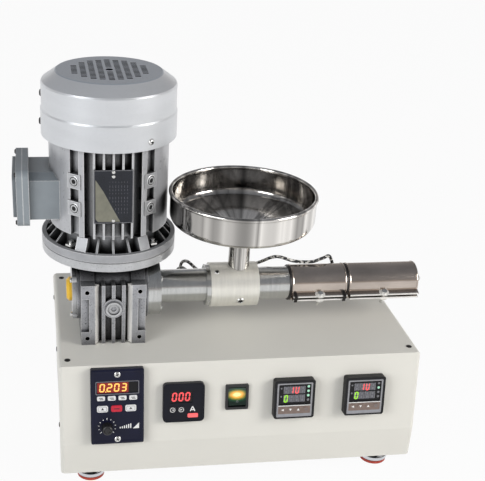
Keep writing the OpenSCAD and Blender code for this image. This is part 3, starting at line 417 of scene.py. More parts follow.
# the fan cover's top disc is painted darker and bluer as a painted reflection of a dark ceiling, its slot
# walls near black as painted shade
cowl = material("fan_cover_metal", colour(206, 208, 211), 0.34, 0.5, grain=12, spread=0.04, fine=1100,
                stretch=(1, 1, 6), bump=0.06, shade_reach=0.02, darkest_shade=0.02,
                cap=(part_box("fan_cover")[1].z - 0.0008, colour(172, 179, 188)))
box_grey = material("terminal_box_paint", colour(140, 147, 152), 0.38, 0.25, grain=40, spread=0.07,
                    fine=1300, bump=0.2, shade_reach=0.012, darkest_shade=0.35, edge=0.0012)

# Bare metals
steel = material("turned_steel", colour(196, 197, 196), 0.22, 1.0, grain=30, spread=0.09, fine=900,
                 stretch=(9, 1, 1), bump=0.1, rough_spread=0.06)
feed_steel = material("feed_block_steel", colour(226, 224, 216), 0.36, 0.6, grain=30, spread=0.06,
                      fine=900, stretch=(9, 1, 1), bump=0.1)
heater = material("heater_steel", colour(190, 179, 170), 0.18, 1.0, grain=22, spread=0.14, fine=500,
                  stretch=(1, 3, 3), bump=0.05, rough_spread=0.06)
# polished steel with painted reflection streaks and painted shade inside
hopper = painted_reflection_streaks("polished_steel", colour(212, 209, 205), CABINET @ Vector((THROAT, AXIS_Y, 0)), 0.12)
bright = material("bright_screw_steel", colour(214, 214, 212), 0.24, 1.0, grain=260, spread=0.1,
                  fine=2400, bump=0.1)
pressed = material("pressed_steel", colour(236, 234, 230), 0.4, 0.35, grain=60, spread=0.06,
                   fine=1800, bump=0.1)
dark_screw = material("dark_screw_steel", colour(52, 50, 50), 0.4, 0.7, grain=300, spread=0.2,
                      fine=2400, bump=0.2)
chrome = material("foot_chrome", colour(206, 208, 212), 0.14, 1.0, grain=90, spread=0.06, fine=800, bump=0.03)
nut_black = material("nozzle_black", colour(36, 35, 35), 0.36, 0.6, grain=200, spread=0.2,
                     fine=1500, bump=0.2)
# thread stem with painted shade and highlight along its thread
stem = thread_with_painted_shade("foot_stem_thread", colour(92, 93, 96), 0.00125)

# Rubber, plastic and ceramic
# near black: painted shade standing in for slots, sockets and holes
shade_in_recess = material("painted_recess_shade", colour(16, 16, 17), 0.8, grain=300, spread=0.3, fine=1800, bump=0.2)
rubber = material("foot_rubber", colour(176, 66, 50), 0.62, grain=160, spread=0.16, fine=1600, bump=0.3)
black_rubber = material("grommet_rubber", colour(30, 30, 31), 0.66, grain=160, spread=0.2,
                        fine=1600, bump=0.3)
plastic = material("black_plastic", colour(28, 28, 30), 0.42, grain=120, spread=0.16, fine=2600, bump=0.2)
cap_yellow = material("yellow_cap", colour(232, 186, 52), 0.42, grain=120, spread=0.08, fine=1800, bump=0.15)
ceramic = material("heater_block_ceramic", colour(216, 211, 198), 0.6, grain=160, spread=0.07,
                   fine=1200, bump=0.3)
fan_black = material("fan_black", colour(16, 16, 17), 0.5, grain=120, spread=0.2, fine=1500, bump=0.2)
braid = sleeve("lead_braid")

# Instruments and nameplate
navy = material("controller_navy", colour(11, 14, 38), 0.4, grain=60, spread=0.2, fine=2800, bump=0.14,
                specular=0.25)
meter_black = material("meter_black", colour(7, 9, 22), 0.36, grain=60, spread=0.25, fine=2800, bump=0.1,
                       specular=0.25)
pid_black = material("controller_black", colour(15, 15, 18), 0.45, grain=90, spread=0.25, fine=2800,
                     bump=0.2, specular=0.3)
pid_frame = material("controller_frame", colour(146, 146, 150), 0.44, 0.1, grain=200, spread=0.1,
                     fine=2600, bump=0.15)
pid_strip = material("controller_key_strip", colour(128, 112, 104), 0.4, 0.35, grain=200, spread=0.12,
                     fine=2400, bump=0.12)
pid_foot = material("controller_foot", colour(150, 152, 158), 0.4, 0.3, grain=200, spread=0.1,
                    fine=2400, bump=0.12)
glass = material("display_glass", colour(7, 7, 10), 0.16, grain=60, spread=0.3, fine=1200, bump=0.02,
                 specular=0.3)
cell = material("unlit_cell", colour(118, 118, 122), 0.4, grain=300, spread=0.12, fine=2600, bump=0.1)
cell_off = material("unlit_segment", colour(84, 84, 92), 0.4, grain=300, spread=0.15, fine=2600, bump=0.1)
ink = material("white_ink", colour(236, 236, 234), 0.5, grain=400, spread=0.04, fine=3000, bump=0.1)
dark_ink = material("dark_ink", colour(34, 34, 40), 0.5, grain=400, spread=0.15, fine=3000, bump=0.1)
key_white = material("white_key", colour(226, 226, 226), 0.45, grain=300, spread=0.06, fine=2600, bump=0.12)
key_red = material("red_key", colour(196, 30, 54), 0.42, grain=300, spread=0.1, fine=2600, bump=0.12)
key_dark = material("dark_key", colour(40, 38, 44), 0.42, grain=300, spread=0.15, fine=2600, bump=0.12)
plate_black = material("nameplate_black", colour(26, 29, 37), 0.3, 0.25, grain=90, spread=0.2,
                       fine=1500, bump=0.08)
# a pale sheet across the nameplate: painted reflection
plate_reflection = material("nameplate_painted_reflection", colour(122, 121, 108), 0.34, 0.15, grain=140, spread=0.14,
                fine=900, bump=0.1)
red_glow = glow("red_digit", colour(255, 92, 96), 1.1, colour(120, 20, 20))
amber_glow = glow("amber_digit", colour(255, 214, 110), 1.2, colour(150, 70, 10))
red_field = glow("red_field", colour(150, 22, 14), 0.8, colour(60, 6, 6))
green_glow = glow("green_digit", colour(168, 238, 44), 1.0, colour(60, 110, 10))
led_glow = glow("green_lamp", colour(190, 244, 216), 0.9, colour(40, 90, 60))
pill_glow = glow("red_pill", colour(255, 110, 112), 1.0, colour(140, 40, 40))
lens = rocker_glow_and_painted_highlight("rocker_lens")

LOOKS = {
    paint: ["cabinet_cover", "left_side", "right_side", "rear_panel", "base_plate"],
    stem: ["foot_stems"],
    chrome: ["foot_cups"],
    rubber: ["foot_pads"],
    plastic: ["power_inlet", "cable_gland", "rocker_frame", "speed_knob"],
    gear_cast: ["gearbox_housing"],
    flange_cast: ["bearing_cover", "input_flange", "oil_plug"],
    flange_ring: ["motor_flange"],
    cap_yellow: ["output_cap"],
    casting: ["motor_body"],
    plate_black: ["nameplate"],
    fan_black: ["cooling_fan"],
    cowl: ["fan_cover"],
    box_grey: ["terminal_box", "terminal_lid"],
    steel: ["output_flange", "rear_barrel", "barrel_collar", "front_barrel", "feed_screw"],
    feed_steel: ["feed_block"],
    heater: ["heater_rear", "heater_front"],
    bright: ["heater_clamps", "nozzle_tip"],
    ceramic: ["heater_blocks"],
    braid: ["heater_leads"],
    black_rubber: ["lead_grommet"],
    nut_black: ["nozzle_nut"],
    hopper: ["hopper_bowl", "hopper_pipe"],
    navy: ["speed_controller"],
    meter_black: ["ammeter"],
    pid_black: ["temperature_controller_1", "temperature_controller_2"],
    glass: ["display_windows"],
    key_white: ["panel_keys"],
    lens: ["rocker"],
}
for look, names in LOOKS.items():
    for name in names:
        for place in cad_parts[name].material_slots:
            place.material = look


# Outlines, and pieces built out of rings of points
def ring(r, z, sides=24, turn=0.0):
    angles = [turn + 2 * math.pi * i / sides for i in range(sides)]
    return [(r * math.cos(a), r * math.sin(a), z) for a in angles]


def ring_outline(r):
    return [(x, y) for x, y, z in ring(r, 0, 20)]


def slab(w, h, r, x=0.0, y=0.0, steps=5):
    points = []
    across, along = w / 2 - r, h / 2 - r
    corners = ((across, along, 0), (-across, along, 90), (-across, -along, 180), (across, -along, 270))
    for cx, cy, start in corners:
        for i in range(steps + 1):
            a = math.radians(start + 90 * i / steps)
            points.append((x + cx + r * math.cos(a), y + cy + r * math.sin(a)))
    return points


def drawn_in(outline, d):
    cx = sum(p[0] for p in outline) / len(outline)
    cy = sum(p[1] for p in outline) / len(outline)
    made = []
    for x, y in outline:
        far = max(1e-6, math.hypot(x - cx, y - cy))
        made.append((x - d * (x - cx) / far, y - d * (y - cy) / far))
    return made


class Shape:
    def __init__(self):
        self.points = []
        self.faces = []
        self.picks = []
        self.looks = []

    def put(self, face, look):
        if look not in self.looks:
            self.looks.append(look)
        self.faces.append(face)
        self.picks.append(self.looks.index(look))

    def loft(self, rings, where, look, loop=False):
        base = len(self.points)
        n = len(rings[0])
        count = len(rings)
        for points in rings:
            self.points += [where @ Vector(p) for p in points]
        for i in range(count if loop else count - 1):
            a = base + i * n
            b = base + (i + 1) % count * n
            for j in range(n):
                k = (j + 1) % n
                self.put((a + j, a + k, b + k, b + j), look)
        if not loop:
            self.put(tuple(base + j for j in reversed(range(n))), look)
            self.put(tuple(base + (count - 1) * n + j for j in range(n)), look)

    def stack(self, rows, where, look, loop=False):
        self.loft([[(x, y, z) for x, y in outline] for outline, z in rows], where, look, loop)

    def lathe(self, profile, where, look, sides=24, turn=0.0):
        self.loft([ring(r, z, sides, turn) for r, z in profile], where, look)

    def plate(self, outline, z0, z1, where, look, ease=0.1):
        self.stack([(outline, z0), (outline, z1 - ease), (drawn_in(outline, ease), z1)], where, look)

    def border(self, outer, inner, z0, z1, where, look):
        self.stack([(outer, z0), (outer, z1), (inner, z1), (inner, z0)], where, look, loop=True)

    def bar(self, p, q, width, z0, z1, where, look):
        a, b = Vector(p), Vector(q)
        along = (b - a).normalized()
        side = Vector((-along.y, along.x)) * width / 2
        tip = along * width / 2
        outline = [a + side + tip, a, a - side + tip, b - side - tip, b, b + side - tip]
        self.plate([(v.x, v.y) for v in outline], z0, z1, where, look, ease=min(0.05, (z1 - z0) / 2))

    def tube(self, path, r, where, look, sides=12):
        path = [Vector(p) for p in path]
        angles = [2 * math.pi * k / sides for k in range(sides)]
        rings = []
        u = None
        for i, p in enumerate(path):
            ahead = (path[min(i + 1, len(path) - 1)] - path[max(i - 1, 0)]).normalized()
            u = u if u else ahead.orthogonal()
            u = (u - ahead * u.dot(ahead)).normalized()
            v = ahead.cross(u)
            rings.append([p + r * (u * math.cos(a) + v * math.sin(a)) for a in angles])
        self.loft(rings, where, look)

    def made(self, name, body="machine", slot=None, sharp=38.0):
        mesh = bpy.data.meshes.new(name)
        mesh.from_pydata([tuple(p) for p in self.points], [], self.faces)
        for look in self.looks:
            mesh.materials.append(look)
        mesh.polygons.foreach_set("material_index", self.picks)
        mesh.polygons.foreach_set("use_smooth", [True] * len(mesh.polygons))
        mesh.set_sharp_from_angle(angle=math.radians(sharp))
        mesh.update()
        made = bpy.data.objects.new(name, mesh)
        bpy.context.scene.collection.objects.link(made)
        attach(made, body)
        return made


def facing(point, direction, base=CABINET):
    turn = Vector((0, 0, 1)).rotation_difference(Vector(direction)).to_matrix().to_4x4()
    return base @ Matrix.Translation(point) @ turn


# Screws and bolts, whose axis is the z of the place they are given
def cross_screw(shape, where, r, h, look):
    shape.lathe([(r, -0.2), (r, 0.35 * h), (0.82 * r, 0.8 * h), (0.45 * r, h)], where, look)
    for a in (0.4, 0.4 + math.pi / 2):
        x, y = 0.62 * r * math.cos(a), 0.62 * r * math.sin(a)
        # a near black cross on the head: painted shade standing in for the slot
        shape.bar((-x, -y), (x, y), 0.3 * r, h - 0.1, h + 0.06, where, shade_in_recess)


def socket_screw(shape, where, r, h):
    head = [(r, -0.2), (r, h - 0.25 * r), (0.8 * r, h), (0.58 * r, h), (0.52 * r, h - 0.15 * r)]
    shape.lathe(head, where, bright)
    # a near black hex below the rim: painted shade in the socket
    shape.lathe([(0.54 * r, h - 0.3), (0.5 * r, h - 0.14 * r)], where, shade_in_recess, sides=6)


def hex_bolt(shape, where, r, h):
    shape.lathe([(1.25 * r, -0.1), (1.25 * r, 0.18 * h), (1.15 * r, 0.22 * h)], where, bright)
    shape.lathe([(r, 0.2 * h), (r, 0.88 * h), (0.9 * r, h)], where, bright, sides=6, turn=0.3)


# Screws of the cabinet, and three blades in the power inlet
def cabinet_screws():
    shape = Shape()
    top_in, edge_in = 10.5, 14
    rear_middle, rear_low = 211, -124
    side_places = ((55, -9), (185, -9), (-3, -75))
    for x in (top_in, CABINET_W - top_in):
        for y in (edge_in, CABINET_BACK - edge_in):
            cross_screw(shape, facing((x, y, 0), (0, 0, 1)), 3.4, 0.7, dark_screw)
    for x, outward in ((0, -1), (CABINET_W, 1)):
        for y, z in side_places:
            cross_screw(shape, facing((x, y, z), (outward, 0, 0)), 3.0, 0.9, dark_screw)
    for x in (edge_in, rear_middle, CABINET_W - edge_in):
        for z in (-edge_in, rear_low):
            cross_screw(shape, facing((x, CABINET_BACK, z), (0, 1, 0)), 3.0, 0.9, dark_screw)
    shape.made("cabinet_screws", slot="foot_steel")


def inlet_pins():
    shape = Shape()
    socket_depth = 12
    for x, z in ((88, -71), (102, -71), (95, -63)):
        where = facing((x, CABINET_BACK - socket_depth, z), (0, 1, 0))
        shape.plate(slab(4, 2, 0.4), -2, 10, where, bright, ease=0.5)
    shape.made("inlet_pins", slot="foot_steel")


# Figures and marks on the instruments; x to the right and y down from the top left corner of each
SEGMENTS = {"0": "abcdef", "1": "bc", "2": "abged", "3": "abgcd", "8": "abcdefg", "U": "bcdef"}
FIGURE_LEAN = 0.1
FIGURE_DEEP = 0.12


def figure(shape, where, w, h, text, on, off=None, width=1.0):
    middle = h / 2
    spots = {
        "a": ((0, h), (w, h)), "b": ((w, h), (w, middle)), "c": ((w, middle), (w, 0)), "d": ((0, 0), (w, 0)),
        "e": ((0, middle), (0, 0)), "f": ((0, h), (0, middle)), "g": ((0, middle), (w, middle))}
    for key, ends in spots.items():
        look = on if key in SEGMENTS[text] else off
        if look:
            p, q = ((x + FIGURE_LEAN * y, y) for x, y in ends)
            shape.bar(p, q, width, 0, FIGURE_DEEP, where, look)


def at(base, x, y, z=0.0):
    return base @ Matrix.Translation((x, -y, z))


SPEED = at(PANEL, *SPEED_AT)
METER = at(PANEL, *METER_AT)


def speed_rim():
    shape = Shape()

    def inset(d):
        right, bottom = SPEED_W - d, d - SPEED_H
        return [(d, bottom), (right, bottom), (right, -d), (d, -d)]

    outer, crest, inner = inset(0.4), inset(2.2), inset(4.2)
    rows = [(outer, -0.2), (outer, 0.1), (crest, 0.7), (inner, 0.15), (inner, -0.2)]
    shape.stack(rows, SPEED, navy, loop=True)
    shape.made("speed_controller_rim", slot="instrument_black", sharp=12)


def speed_screws():
    shape = Shape()
    for y in (6.5, 86.5):
        cross_screw(shape, at(SPEED, SPEED_W / 2, y), 3.5, 1.3, bright)
    shape.made("speed_controller_screws", slot="foot_steel")


def speed_display():
    shape = Shape()
    x, y = SPEED_W / 2, -22.5
    shape.border(slab(49, 16, 1.2, x, y), slab(47.4, 14.4, 0.8, x, y), -0.1, 0.12, SPEED, cell)
    glass_at = at(SPEED, 7, 29, GLASS_DEPTH)
    shape.plate(slab(35, 12.4, 0.3, 18, 6.5), -0.1, 0.05, glass_at, red_field, ease=0.02)
    for i, text in enumerate("0203"):
        figure(shape, at(glass_at, 3.2 + 8.2 * i, -2.2, 0.05), 4.6, 8.6, text, amber_glow, width=1.5)
    shape.plate(slab(1.3, 1.3, 0.4, 10.1, 1.6), 0, 0.16, glass_at, amber_glow)
    shape.made("speed_display", slot="display_dark")


# Ticks round the knob, and a row of growing bars with a wedge beside it
def speed_dial_marks():
    shape = Shape()
    knob = at(SPEED, *KNOB_AT)
    tick_in, tick_short, tick_long = 8.6, 10.4, 11.2
    first, step = 225, 27
    for i in range(11):
        a = math.radians(first - step * i)
        x, y = math.cos(a), math.sin(a)
        tick_out = tick_short if i % 5 else tick_long
        shape.bar((tick_in * x, tick_in * y), (tick_out * x, tick_out * y), 0.8, -0.05, 0.1, knob, ink)
    for i in range(6):
        x = 33 + 2.4 * i
        shape.bar((x, -73.5), (x, -71.0 + 0.75 * i), 1.3, -0.05, 0.1, SPEED, ink)
    shape.plate([(47.5, -73.8), (54.5, -73.8), (54.5, -66.8)], -0.05, 0.1, SPEED, ink, ease=0.03)
    shape.made("speed_dial_marks", slot="key_grey")


def knob_grip():
    shape = Shape()
    where = at(SPEED, *KNOB_AT, 0.3)
    crown = [(4.35, 10.6), (4.3, 11.0), (3.6, 11.0), (3.4, 10.75), (0.6, 10.75)]
    shape.lathe(crown, where, plastic, sides=32)
    shape.bar((0.6, -0.6), (2.9, -2.9), 1.0, 10.7, 11.0, where, ink)
    ribs = 24
    profile = ((5.98, 0.8), (5.9, 4.5), (5.62, 8.8), (5.3, 9.4))
    for i in range(ribs):
        a = 2 * math.pi * i / ribs
        path = [(r * math.cos(a), r * math.sin(a), z) for r, z in profile]
        shape.tube(path, 0.28, where, plastic, sides=6)
    shape.made("knob_grip", "knob", slot="instrument_black")


# Keys, which stand in for the plain ones of the solids
def speed_keys(shape):
    for i in range(4):
        key = at(SPEED, 11.5 + 12.1 * i, 35)
        shape.plate(slab(9, 5.5, 1.4), -0.1, 1, key, key_white, ease=0.35)
        shape.bar((-2.6, 0.6), (2.2, 0.6), 0.8, 0.95, 1.05, key, dark_ink)
        shape.bar((-1.6, -0.9), (2.8, -0.9), 0.8, 0.95, 1.05, key, dark_ink)
    for i, look in enumerate((key_white, key_red, key_white)):
        key = at(SPEED, 13 + 16 * i, 48)
        shape.plate(slab(12.5, 8, 2), -0.1, 1, key, look, ease=0.45)
        if look is key_red:
            shape.bar((-3.4, 0), (3.4, 0), 1.1, 0.95, 1.05, key, dark_ink)
        else:
            shape.plate([(-1.7, -1.0), (1.7, -1.0), (0, 1.7)], 0.95, 1.05, key, dark_ink, ease=0.02)
            shape.border(slab(9.6, 5.6, 1.2), slab(8.9, 4.9, 0.9), 0.9, 1.03, key, cell)


def meter_keys(shape):
    arrows = ([(1.2, -0.9), (1.2, 0.9), (-1.0, 0)], [(-0.9, 0.9), (-0.9, -1.2), (1.2, 0.5)])
    for i, arrow in enumerate(arrows):
        key = at(METER, 11 + 10 * i, 32)
        shape.plate(slab(7, 7, 1.75), -0.1, 1, key, key_dark, ease=0.4)
        shape.border(ring_outline(3.0), ring_outline(2.45), 0.9, 1.06, key, ink)
        shape.plate(arrow, 0.95, 1.06, key, ink, ease=0.02)
    key = at(METER, 34.5, 40)
    shape.plate(slab(12, 5, 1.25), -0.1, 0.9, key, pill_glow, ease=0.4)
    tag = [(-5.6, 0), (-4.2, -1.5), (5.4, -1.5), (5.4, 1.5), (-4.2, 1.5)]
    shape.plate(tag, 0.85, 1.0, key, pill_glow, ease=0.05)


def controller_keys(shape, base):
    arrows = ([(1.5, -1.4), (1.5, 1.4), (-1.6, 0)], [(-1.5, 1.3), (1.5, 1.3), (0, -1.5)],
              [(-1.5, -1.3), (1.5, -1.3), (0, 1.5)], None)
    for i, arrow in enumerate(arrows):
        key = at(base, 10 + 9.4 * i, 36.5)
        shape.plate(slab(6.5, 5, 1.25), -0.1, 0.8, key, pid_strip, ease=0.35)
        if arrow:
            shape.plate(arrow, 0.76, 0.9, key, ink, ease=0.02)
        else:
            shape.border(ring_outline(1.7), ring_outline(1.1), 0.7, 0.9, key, cell)


def membrane_keys():
    shape = Shape()
    speed_keys(shape)
    meter_keys(shape)
    for place in (FIRST_AT, SECOND_AT):
        controller_keys(shape, at(PANEL, *place))
    piece = shape.made("membrane_keys", slot="key_grey")
    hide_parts("panel_keys")


def meter_display():
    shape = Shape()
    outer, inner = slab(47.4, 47.4, 4.8, 24, -24), slab(44.6, 44.6, 4.0, 24, -24)
    shape.border(outer, inner, -0.2, 0.35, METER, meter_black)
    glass_at = at(METER, 8, 24, GLASS_DEPTH)
    for i in range(3):
        figure(shape, at(glass_at, 2.6 + 7.6 * i, -2.6, 0.03), 4.2, 9.4, "0", red_glow, width=1.7)
    left, top, right = (31.4, -35), (34.2, -28.6), (37.0, -35)
    for p, q in ((left, top), (top, right), ((32.6, -33), (35.8, -33))):
        shape.bar(p, q, 1.2, -0.05, 0.12, METER, ink)
    shape.made("meter_display", slot="display_dark")


def controller_face(base, name):
    shape = Shape()
    middle, wide = 24, 38.4
    shape.border(slab(42, 42.4, 1.2, middle, -24.6), slab(38.2, 39.2, 0.8, middle, -24.6), -0.2, 0.3,
                 base, pid_frame)
    shape.plate(slab(wide, 0.9, 0.2, middle, -31.6), -0.1, 0.4, base, ink)
    shape.plate(slab(wide, 9.4, 0.5, middle, -37.2), -0.1, 0.15, base, pid_strip)
    shape.plate(slab(wide, 2.8, 0.4, middle, -43.3), -0.1, 0.25, base, pid_foot)
    shape.made(name + "_face", slot="instrument_black")


# Two rows of four cells, of which three are lit, with lamps down both sides
def controller_display(base, name, lamps):
    shape = Shape()
    glass_at = at(base, 5, 30, GLASS_DEPTH)
    lit = {(0, 1): ("1", red_glow), (0, 2): ("U", red_glow), (1, 0): ("0", green_glow)}
    for row, y in enumerate((13.6, 3.0)):
        for i in range(4):
            corner = at(glass_at, 6.2 + 6.5 * i, -y)
            shape.plate(slab(6.0, 8.9, 0.4, 2.6, 4.1), -0.1, 0.04, corner, cell, ease=0.01)
            spot = at(corner, 0.6, 0.0, 0.04)
            if (row, i) in lit:
                text, look = lit[row, i]
                figure(shape, spot, 3.2, 8.0, text, look, cell_off, width=1.35)
            else:
                figure(shape, spot, 3.2, 8.0, "8", cell_off, width=0.9)
    for i in range(4):
        where = at(glass_at, 35.2, -21.5 + 5.6 * i)
        look = led_glow if i in lamps else cell
        shape.lathe([(1.5, -0.1), (1.5, 0.1), (1.1, 0.35)], where, look, sides=16)
    for i in range(2):
        where = at(glass_at, 3.0, -20 + 10 * i)
        shape.lathe([(1.1, -0.1), (1.1, 0.1), (0.8, 0.3)], where, cell, sides=16)
    shape.made(name + "_display", slot="display_dark")


def controllers():
    pair = ((FIRST_AT, "first_controller", (0, 1, 2)), (SECOND_AT, "second_controller", (1,)))
    for place, name, lamps in pair:
        base = at(PANEL, *place)
        controller_face(base, name)
        controller_display(base, name, lamps)


# A stroke and a ring on the two halves of the rocker
def rocker_marks():
    shape = Shape()
    base = PANEL @ Matrix.Translation((ROCKER_X, ROCKER_Y, -3)) @ Matrix.Rotation(-ROCKER_LEAN, 4, "X")
    upper = base @ Matrix.Rotation(ROCKER_LEAN, 4, "X")
    lower = base @ Matrix.Rotation(-ROCKER_LEAN, 4, "X") @ Matrix.Translation((0, -7.0, 0))
    z = 5.0 * math.cos(ROCKER_LEAN) + 0.02
    shape.bar((0, 7.2), (0, 9.2), 0.6, z - 0.1, z + 0.1, upper, cell)
    shape.border(ring_outline(1.2), ring_outline(0.75), z - 0.1, z + 0.1, lower, cell)
    shape.made("rocker_marks", "switch", slot="rocker_green")


# Fasteners and fittings of the motor and the gearbox
def round_motor(angle, r, z, flat=False):
    a = math.radians(angle)
    out = Vector((math.sin(a), -math.cos(a), 0))
    return facing(out * r + Vector((0, 0, z)), (0, 0, 1) if flat else out, MOTOR)


def column_bosses():
    shape = Shape()
    for angle in (38, -38, 142, -142):
        for z in BOSS_HEIGHTS:
            where = round_motor(angle, BODY_R + 0.8, z)
            shape.lathe([(6.6, -0.3), (6.5, 0.3), (5.6, 0.6), (5.2, 0.2)], where, casting)
            # near black rings here and two lines below: painted shade in the bosses' holes
            shape.lathe([(5.25, -0.2), (5.2, 0.22)], where, shade_in_recess)
            shape.lathe([(4.4, 0.1), (4.3, 0.7), (3.0, 0.9), (2.7, 0.4)], where, flange_cast)
            shape.lathe([(2.75, -0.2), (2.6, 0.42)], where, shade_in_recess)
    shape.made("column_bosses", slot="motor_casting")


def motor_bolts():
    shape = Shape()
    for angle in (45, -45, 135, -135):
        where = round_motor(angle, FLANGE_BOLTS_R, FLANGE_FLOOR, flat=True)
        hex_bolt(shape, where, 6.8, 7.5)
        shape.lathe([(3.2, 7.0), (3.2, 10.0), (2.4, 11.0)], where, bright, sides=16)
    skirt_z = 239
    for angle in (32, 152):
        cross_screw(shape, round_motor(angle, COWL_R, skirt_z), 3.4, 1.8, bright)
    side = -97
    for r, z in ((COWL_R, 240), (COWL_R - 1.2, 272)):
        cross_screw(shape, round_motor(side, r, z), 4.0, 2.2, dark_screw)
    shape.made("motor_bolts", slot="foot_steel")


def terminal_lid_screws():
    shape = Shape()
    for y in (87, 165):
        for z in (138, 194):
            cross_screw(shape, facing((LID_FACE, y, z), (-1, 0, 0)), 2.8, 1.6, dark_screw)
    shape.made("terminal_lid_screws", slot="foot_steel")


def gearbox_bolts():
    shape = Shape()
    left_cover = (19, 31, -1, 2.4)
    right_flange = (121, 26.2, 1, 2.6)
    for angle in (45, 135, 225, 315):
        y, z = math.cos(math.radians(angle)), math.sin(math.radians(angle))
        for x, r, outward, head in (left_cover, right_flange):
            socket_screw(shape, facing((x, r * y, r * z), (outward, 0, 0), BARREL), 3.0, head)
    shape.made("gearbox_bolts", slot="foot_steel")


# Sloping fillets down the inner sides of the gearbox's columns, in a pale steel lighter than the casting:
# painted highlight on the columns' inner walls
def gearbox_fillets():
    shape = Shape()
    for wall, inward in ((GEAR_X + COLUMN_W, 1), (GEAR_X + GEAR_W - COLUMN_W, -1)):
        root = wall - 0.1 * inward
        section = [(root, GEAR_Y + 0.5), (wall + 4.6 * inward, GEAR_Y + 6), (root, GEAR_Y + 8)]
        if inward < 0:
            section.reverse()
        shape.stack([(section, 1), (section, COLUMN_H - 1)], CABINET, pressed)
    shape.made("gearbox_fillets", slot="motor_casting")


# A bare nameplate: its border and rivets, and a pale sheet painted across it as a reflection beside a field
# of short strokes
PLATE = MOTOR @ Matrix.Translation((0, 1 - BODY_R, PLATE_Z)) @ Matrix.Rotation(math.pi / 2, 4, "X")


def nameplate_rivets():
    shape = Shape()
    shape.border(slab(42.4, 61.4, 1.0), slab(41.2, 60.2, 0.8), -0.1, 0.12, PLATE, cell)
    for y in (28.6, 23.6, -28):
        where = PLATE @ Matrix.Translation((0, y, 0))
        shape.lathe([(1.9, -0.1), (1.8, 0.4), (1.0, 0.8)], where, bright, sides=16)
    shape.made("nameplate_rivets", slot="foot_steel")


def nameplate_painted_reflection():
    shape = Shape()
    # the pale sheet: painted reflection
    sheet = [(-19.6, -26), (-17, -29), (7.5, -29), (-1.5, -12), (-11, 6.5), (-19.6, 20)]
    shape.plate(sheet, -0.05, 0.1, PLATE, plate_reflection, ease=0.04)
    top, edge, slant = 18, -11.5, 0.42
    for i in range(7):
        x = -4 + 3.2 * i
        for j in range(9):
            y = top - 4.4 * j
            stroke = 1.6 + 0.7 * ((3 * i + 5 * j) % 3)
            if x > edge + (top - y) * slant:
                shape.bar((x, y), (x, y - stroke), 0.5, -0.05, 0.06, PLATE, cell_off)
    shape.made("nameplate_painted_reflection", slot="nameplate_black")


# Fittings along the barrel, with paths round its axis and along it
def round_barrel(x, r, angle):
    a = math.radians(angle)
    out = Vector((0, -math.cos(a), -math.sin(a)))
    return facing(Vector((x, 0, 0)) + r * out, out, BARREL)


def hoop(x, r, start, sweep, steps):
    angles = [math.radians(start + sweep * i / steps) for i in range(steps + 1)]
    return [(x, -math.cos(a) * r, -math.sin(a) * r) for a in angles]


def straight(x0, x1, offset):
    return [offset + Vector((x, 0, 0)) for x in (x0, (x0 + x1) / 2, x1)]


def at_slit(x, r):
    turn = Matrix((Vector((1, 0, 0)), SLIT_OUT, SLIT_ACROSS)).transposed().to_4x4()
    return BARREL @ Matrix.Translation(Vector((x, 0, 0)) + SLIT_OUT * r) @ turn


def feed_block_screws():
    shape = Shape()
    socket_screw(shape, round_barrel(THROAT, FEED_R - 0.6, 24), 4.8, 1.6)
    socket_screw(shape, round_barrel(FEED_X + 7, FEED_R - 0.6, -60), 3.0, 1.2)
    socket_screw(shape, round_barrel(FEED_X - 2.5, FEED_R - 2.6, 25), 2.0, 0.9)
    shape.made("feed_block_screws", slot="foot_steel")


# Beads round the heaters' ends and along their seams, and rounded lips on the edges of the slit
def heater_beads():
    shape = Shape()
    start, sweep = SLIT_ANGLE + SLIT_FREE, 360 - 2 * SLIT_FREE
    for x in (HEAT1_X + 1.2, HEAT2_X - 4.2, HEAT2_X + 1.2, BARREL_END - 1.4):
        shape.tube(hoop(x, HEAT_R, start, sweep, 40), 0.7, BARREL, heater, sides=8)
    for x0, x1 in ((HEAT1_X + 2, HEAT2_X - 5), (HEAT2_X + 2, BARREL_END - 2)):
        for angle in (100, 260):
            a = math.radians(angle)
            seam = Vector((0, -math.cos(a), -math.sin(a))) * (HEAT_R - 0.1)
            shape.tube(straight(x0, x1, seam), 0.45, BARREL, heater, sides=6)
    for x0, x1 in ((HEAT1_X + 0.4, HEAT2_X - HEATER_GAP - 0.4), (HEAT2_X + 0.4, BARREL_END - 0.6)):
        for side in (2.8, -2.8):
            lip = SLIT_OUT * (HEAT_R + 6.4) + SLIT_ACROSS * side
            shape.tube(straight(x0, x1, lip), 1.0, BARREL, pressed, sides=10)
    shape.made("heater_beads", slot="heater_steel")


def heater_straps():
    shape = Shape()
    for x in (HEAT1_X - 1.4, HEAT2_X - HEATER_GAP / 2):
        shape.tube(hoop(x, HEAT_R - 1.2, 0, 360, 48), 1.4, BARREL, dark_screw, sides=8)
    shape.made("heater_straps", slot="foot_steel")


def heater_clips():
    shape = Shape()
    back, front, half = -3.2, 5.2, 4.4
    sheet = 0.8
    profile = [
        (back, half), (front, half), (front, -half), (back, -half), (back, sheet - half),
        (front - sheet, sheet - half), (front - sheet, half - sheet), (back, half - sheet)]
    for x in (HEAT1_X + 3.5, HEAT2_X - 7):
        rings = [[(side, p, q) for p, q in profile] for side in (-1.9, 1.9)]
        shape.loft(rings, at_slit(x, HEAT_R + 3.0), dark_screw)
    shape.made("heater_clips", slot="foot_steel")


def clamp_washers():
    shape = Shape()
    hole, rim, half = 1.6, 6.0, 0.35
    for x in ((HEAT1_X + HEAT2_X - HEATER_GAP) / 2, (HEAT2_X + BARREL_END) / 2):
        for z in (3.65, -3.65):
            washer = [(hole, z - half), (rim, z - half), (rim, z + half), (hole, z + half)]
            shape.lathe(washer, at_slit(x, HEAT_R + 3.5), pressed)
    shape.made("clamp_washers", slot="heater_steel")


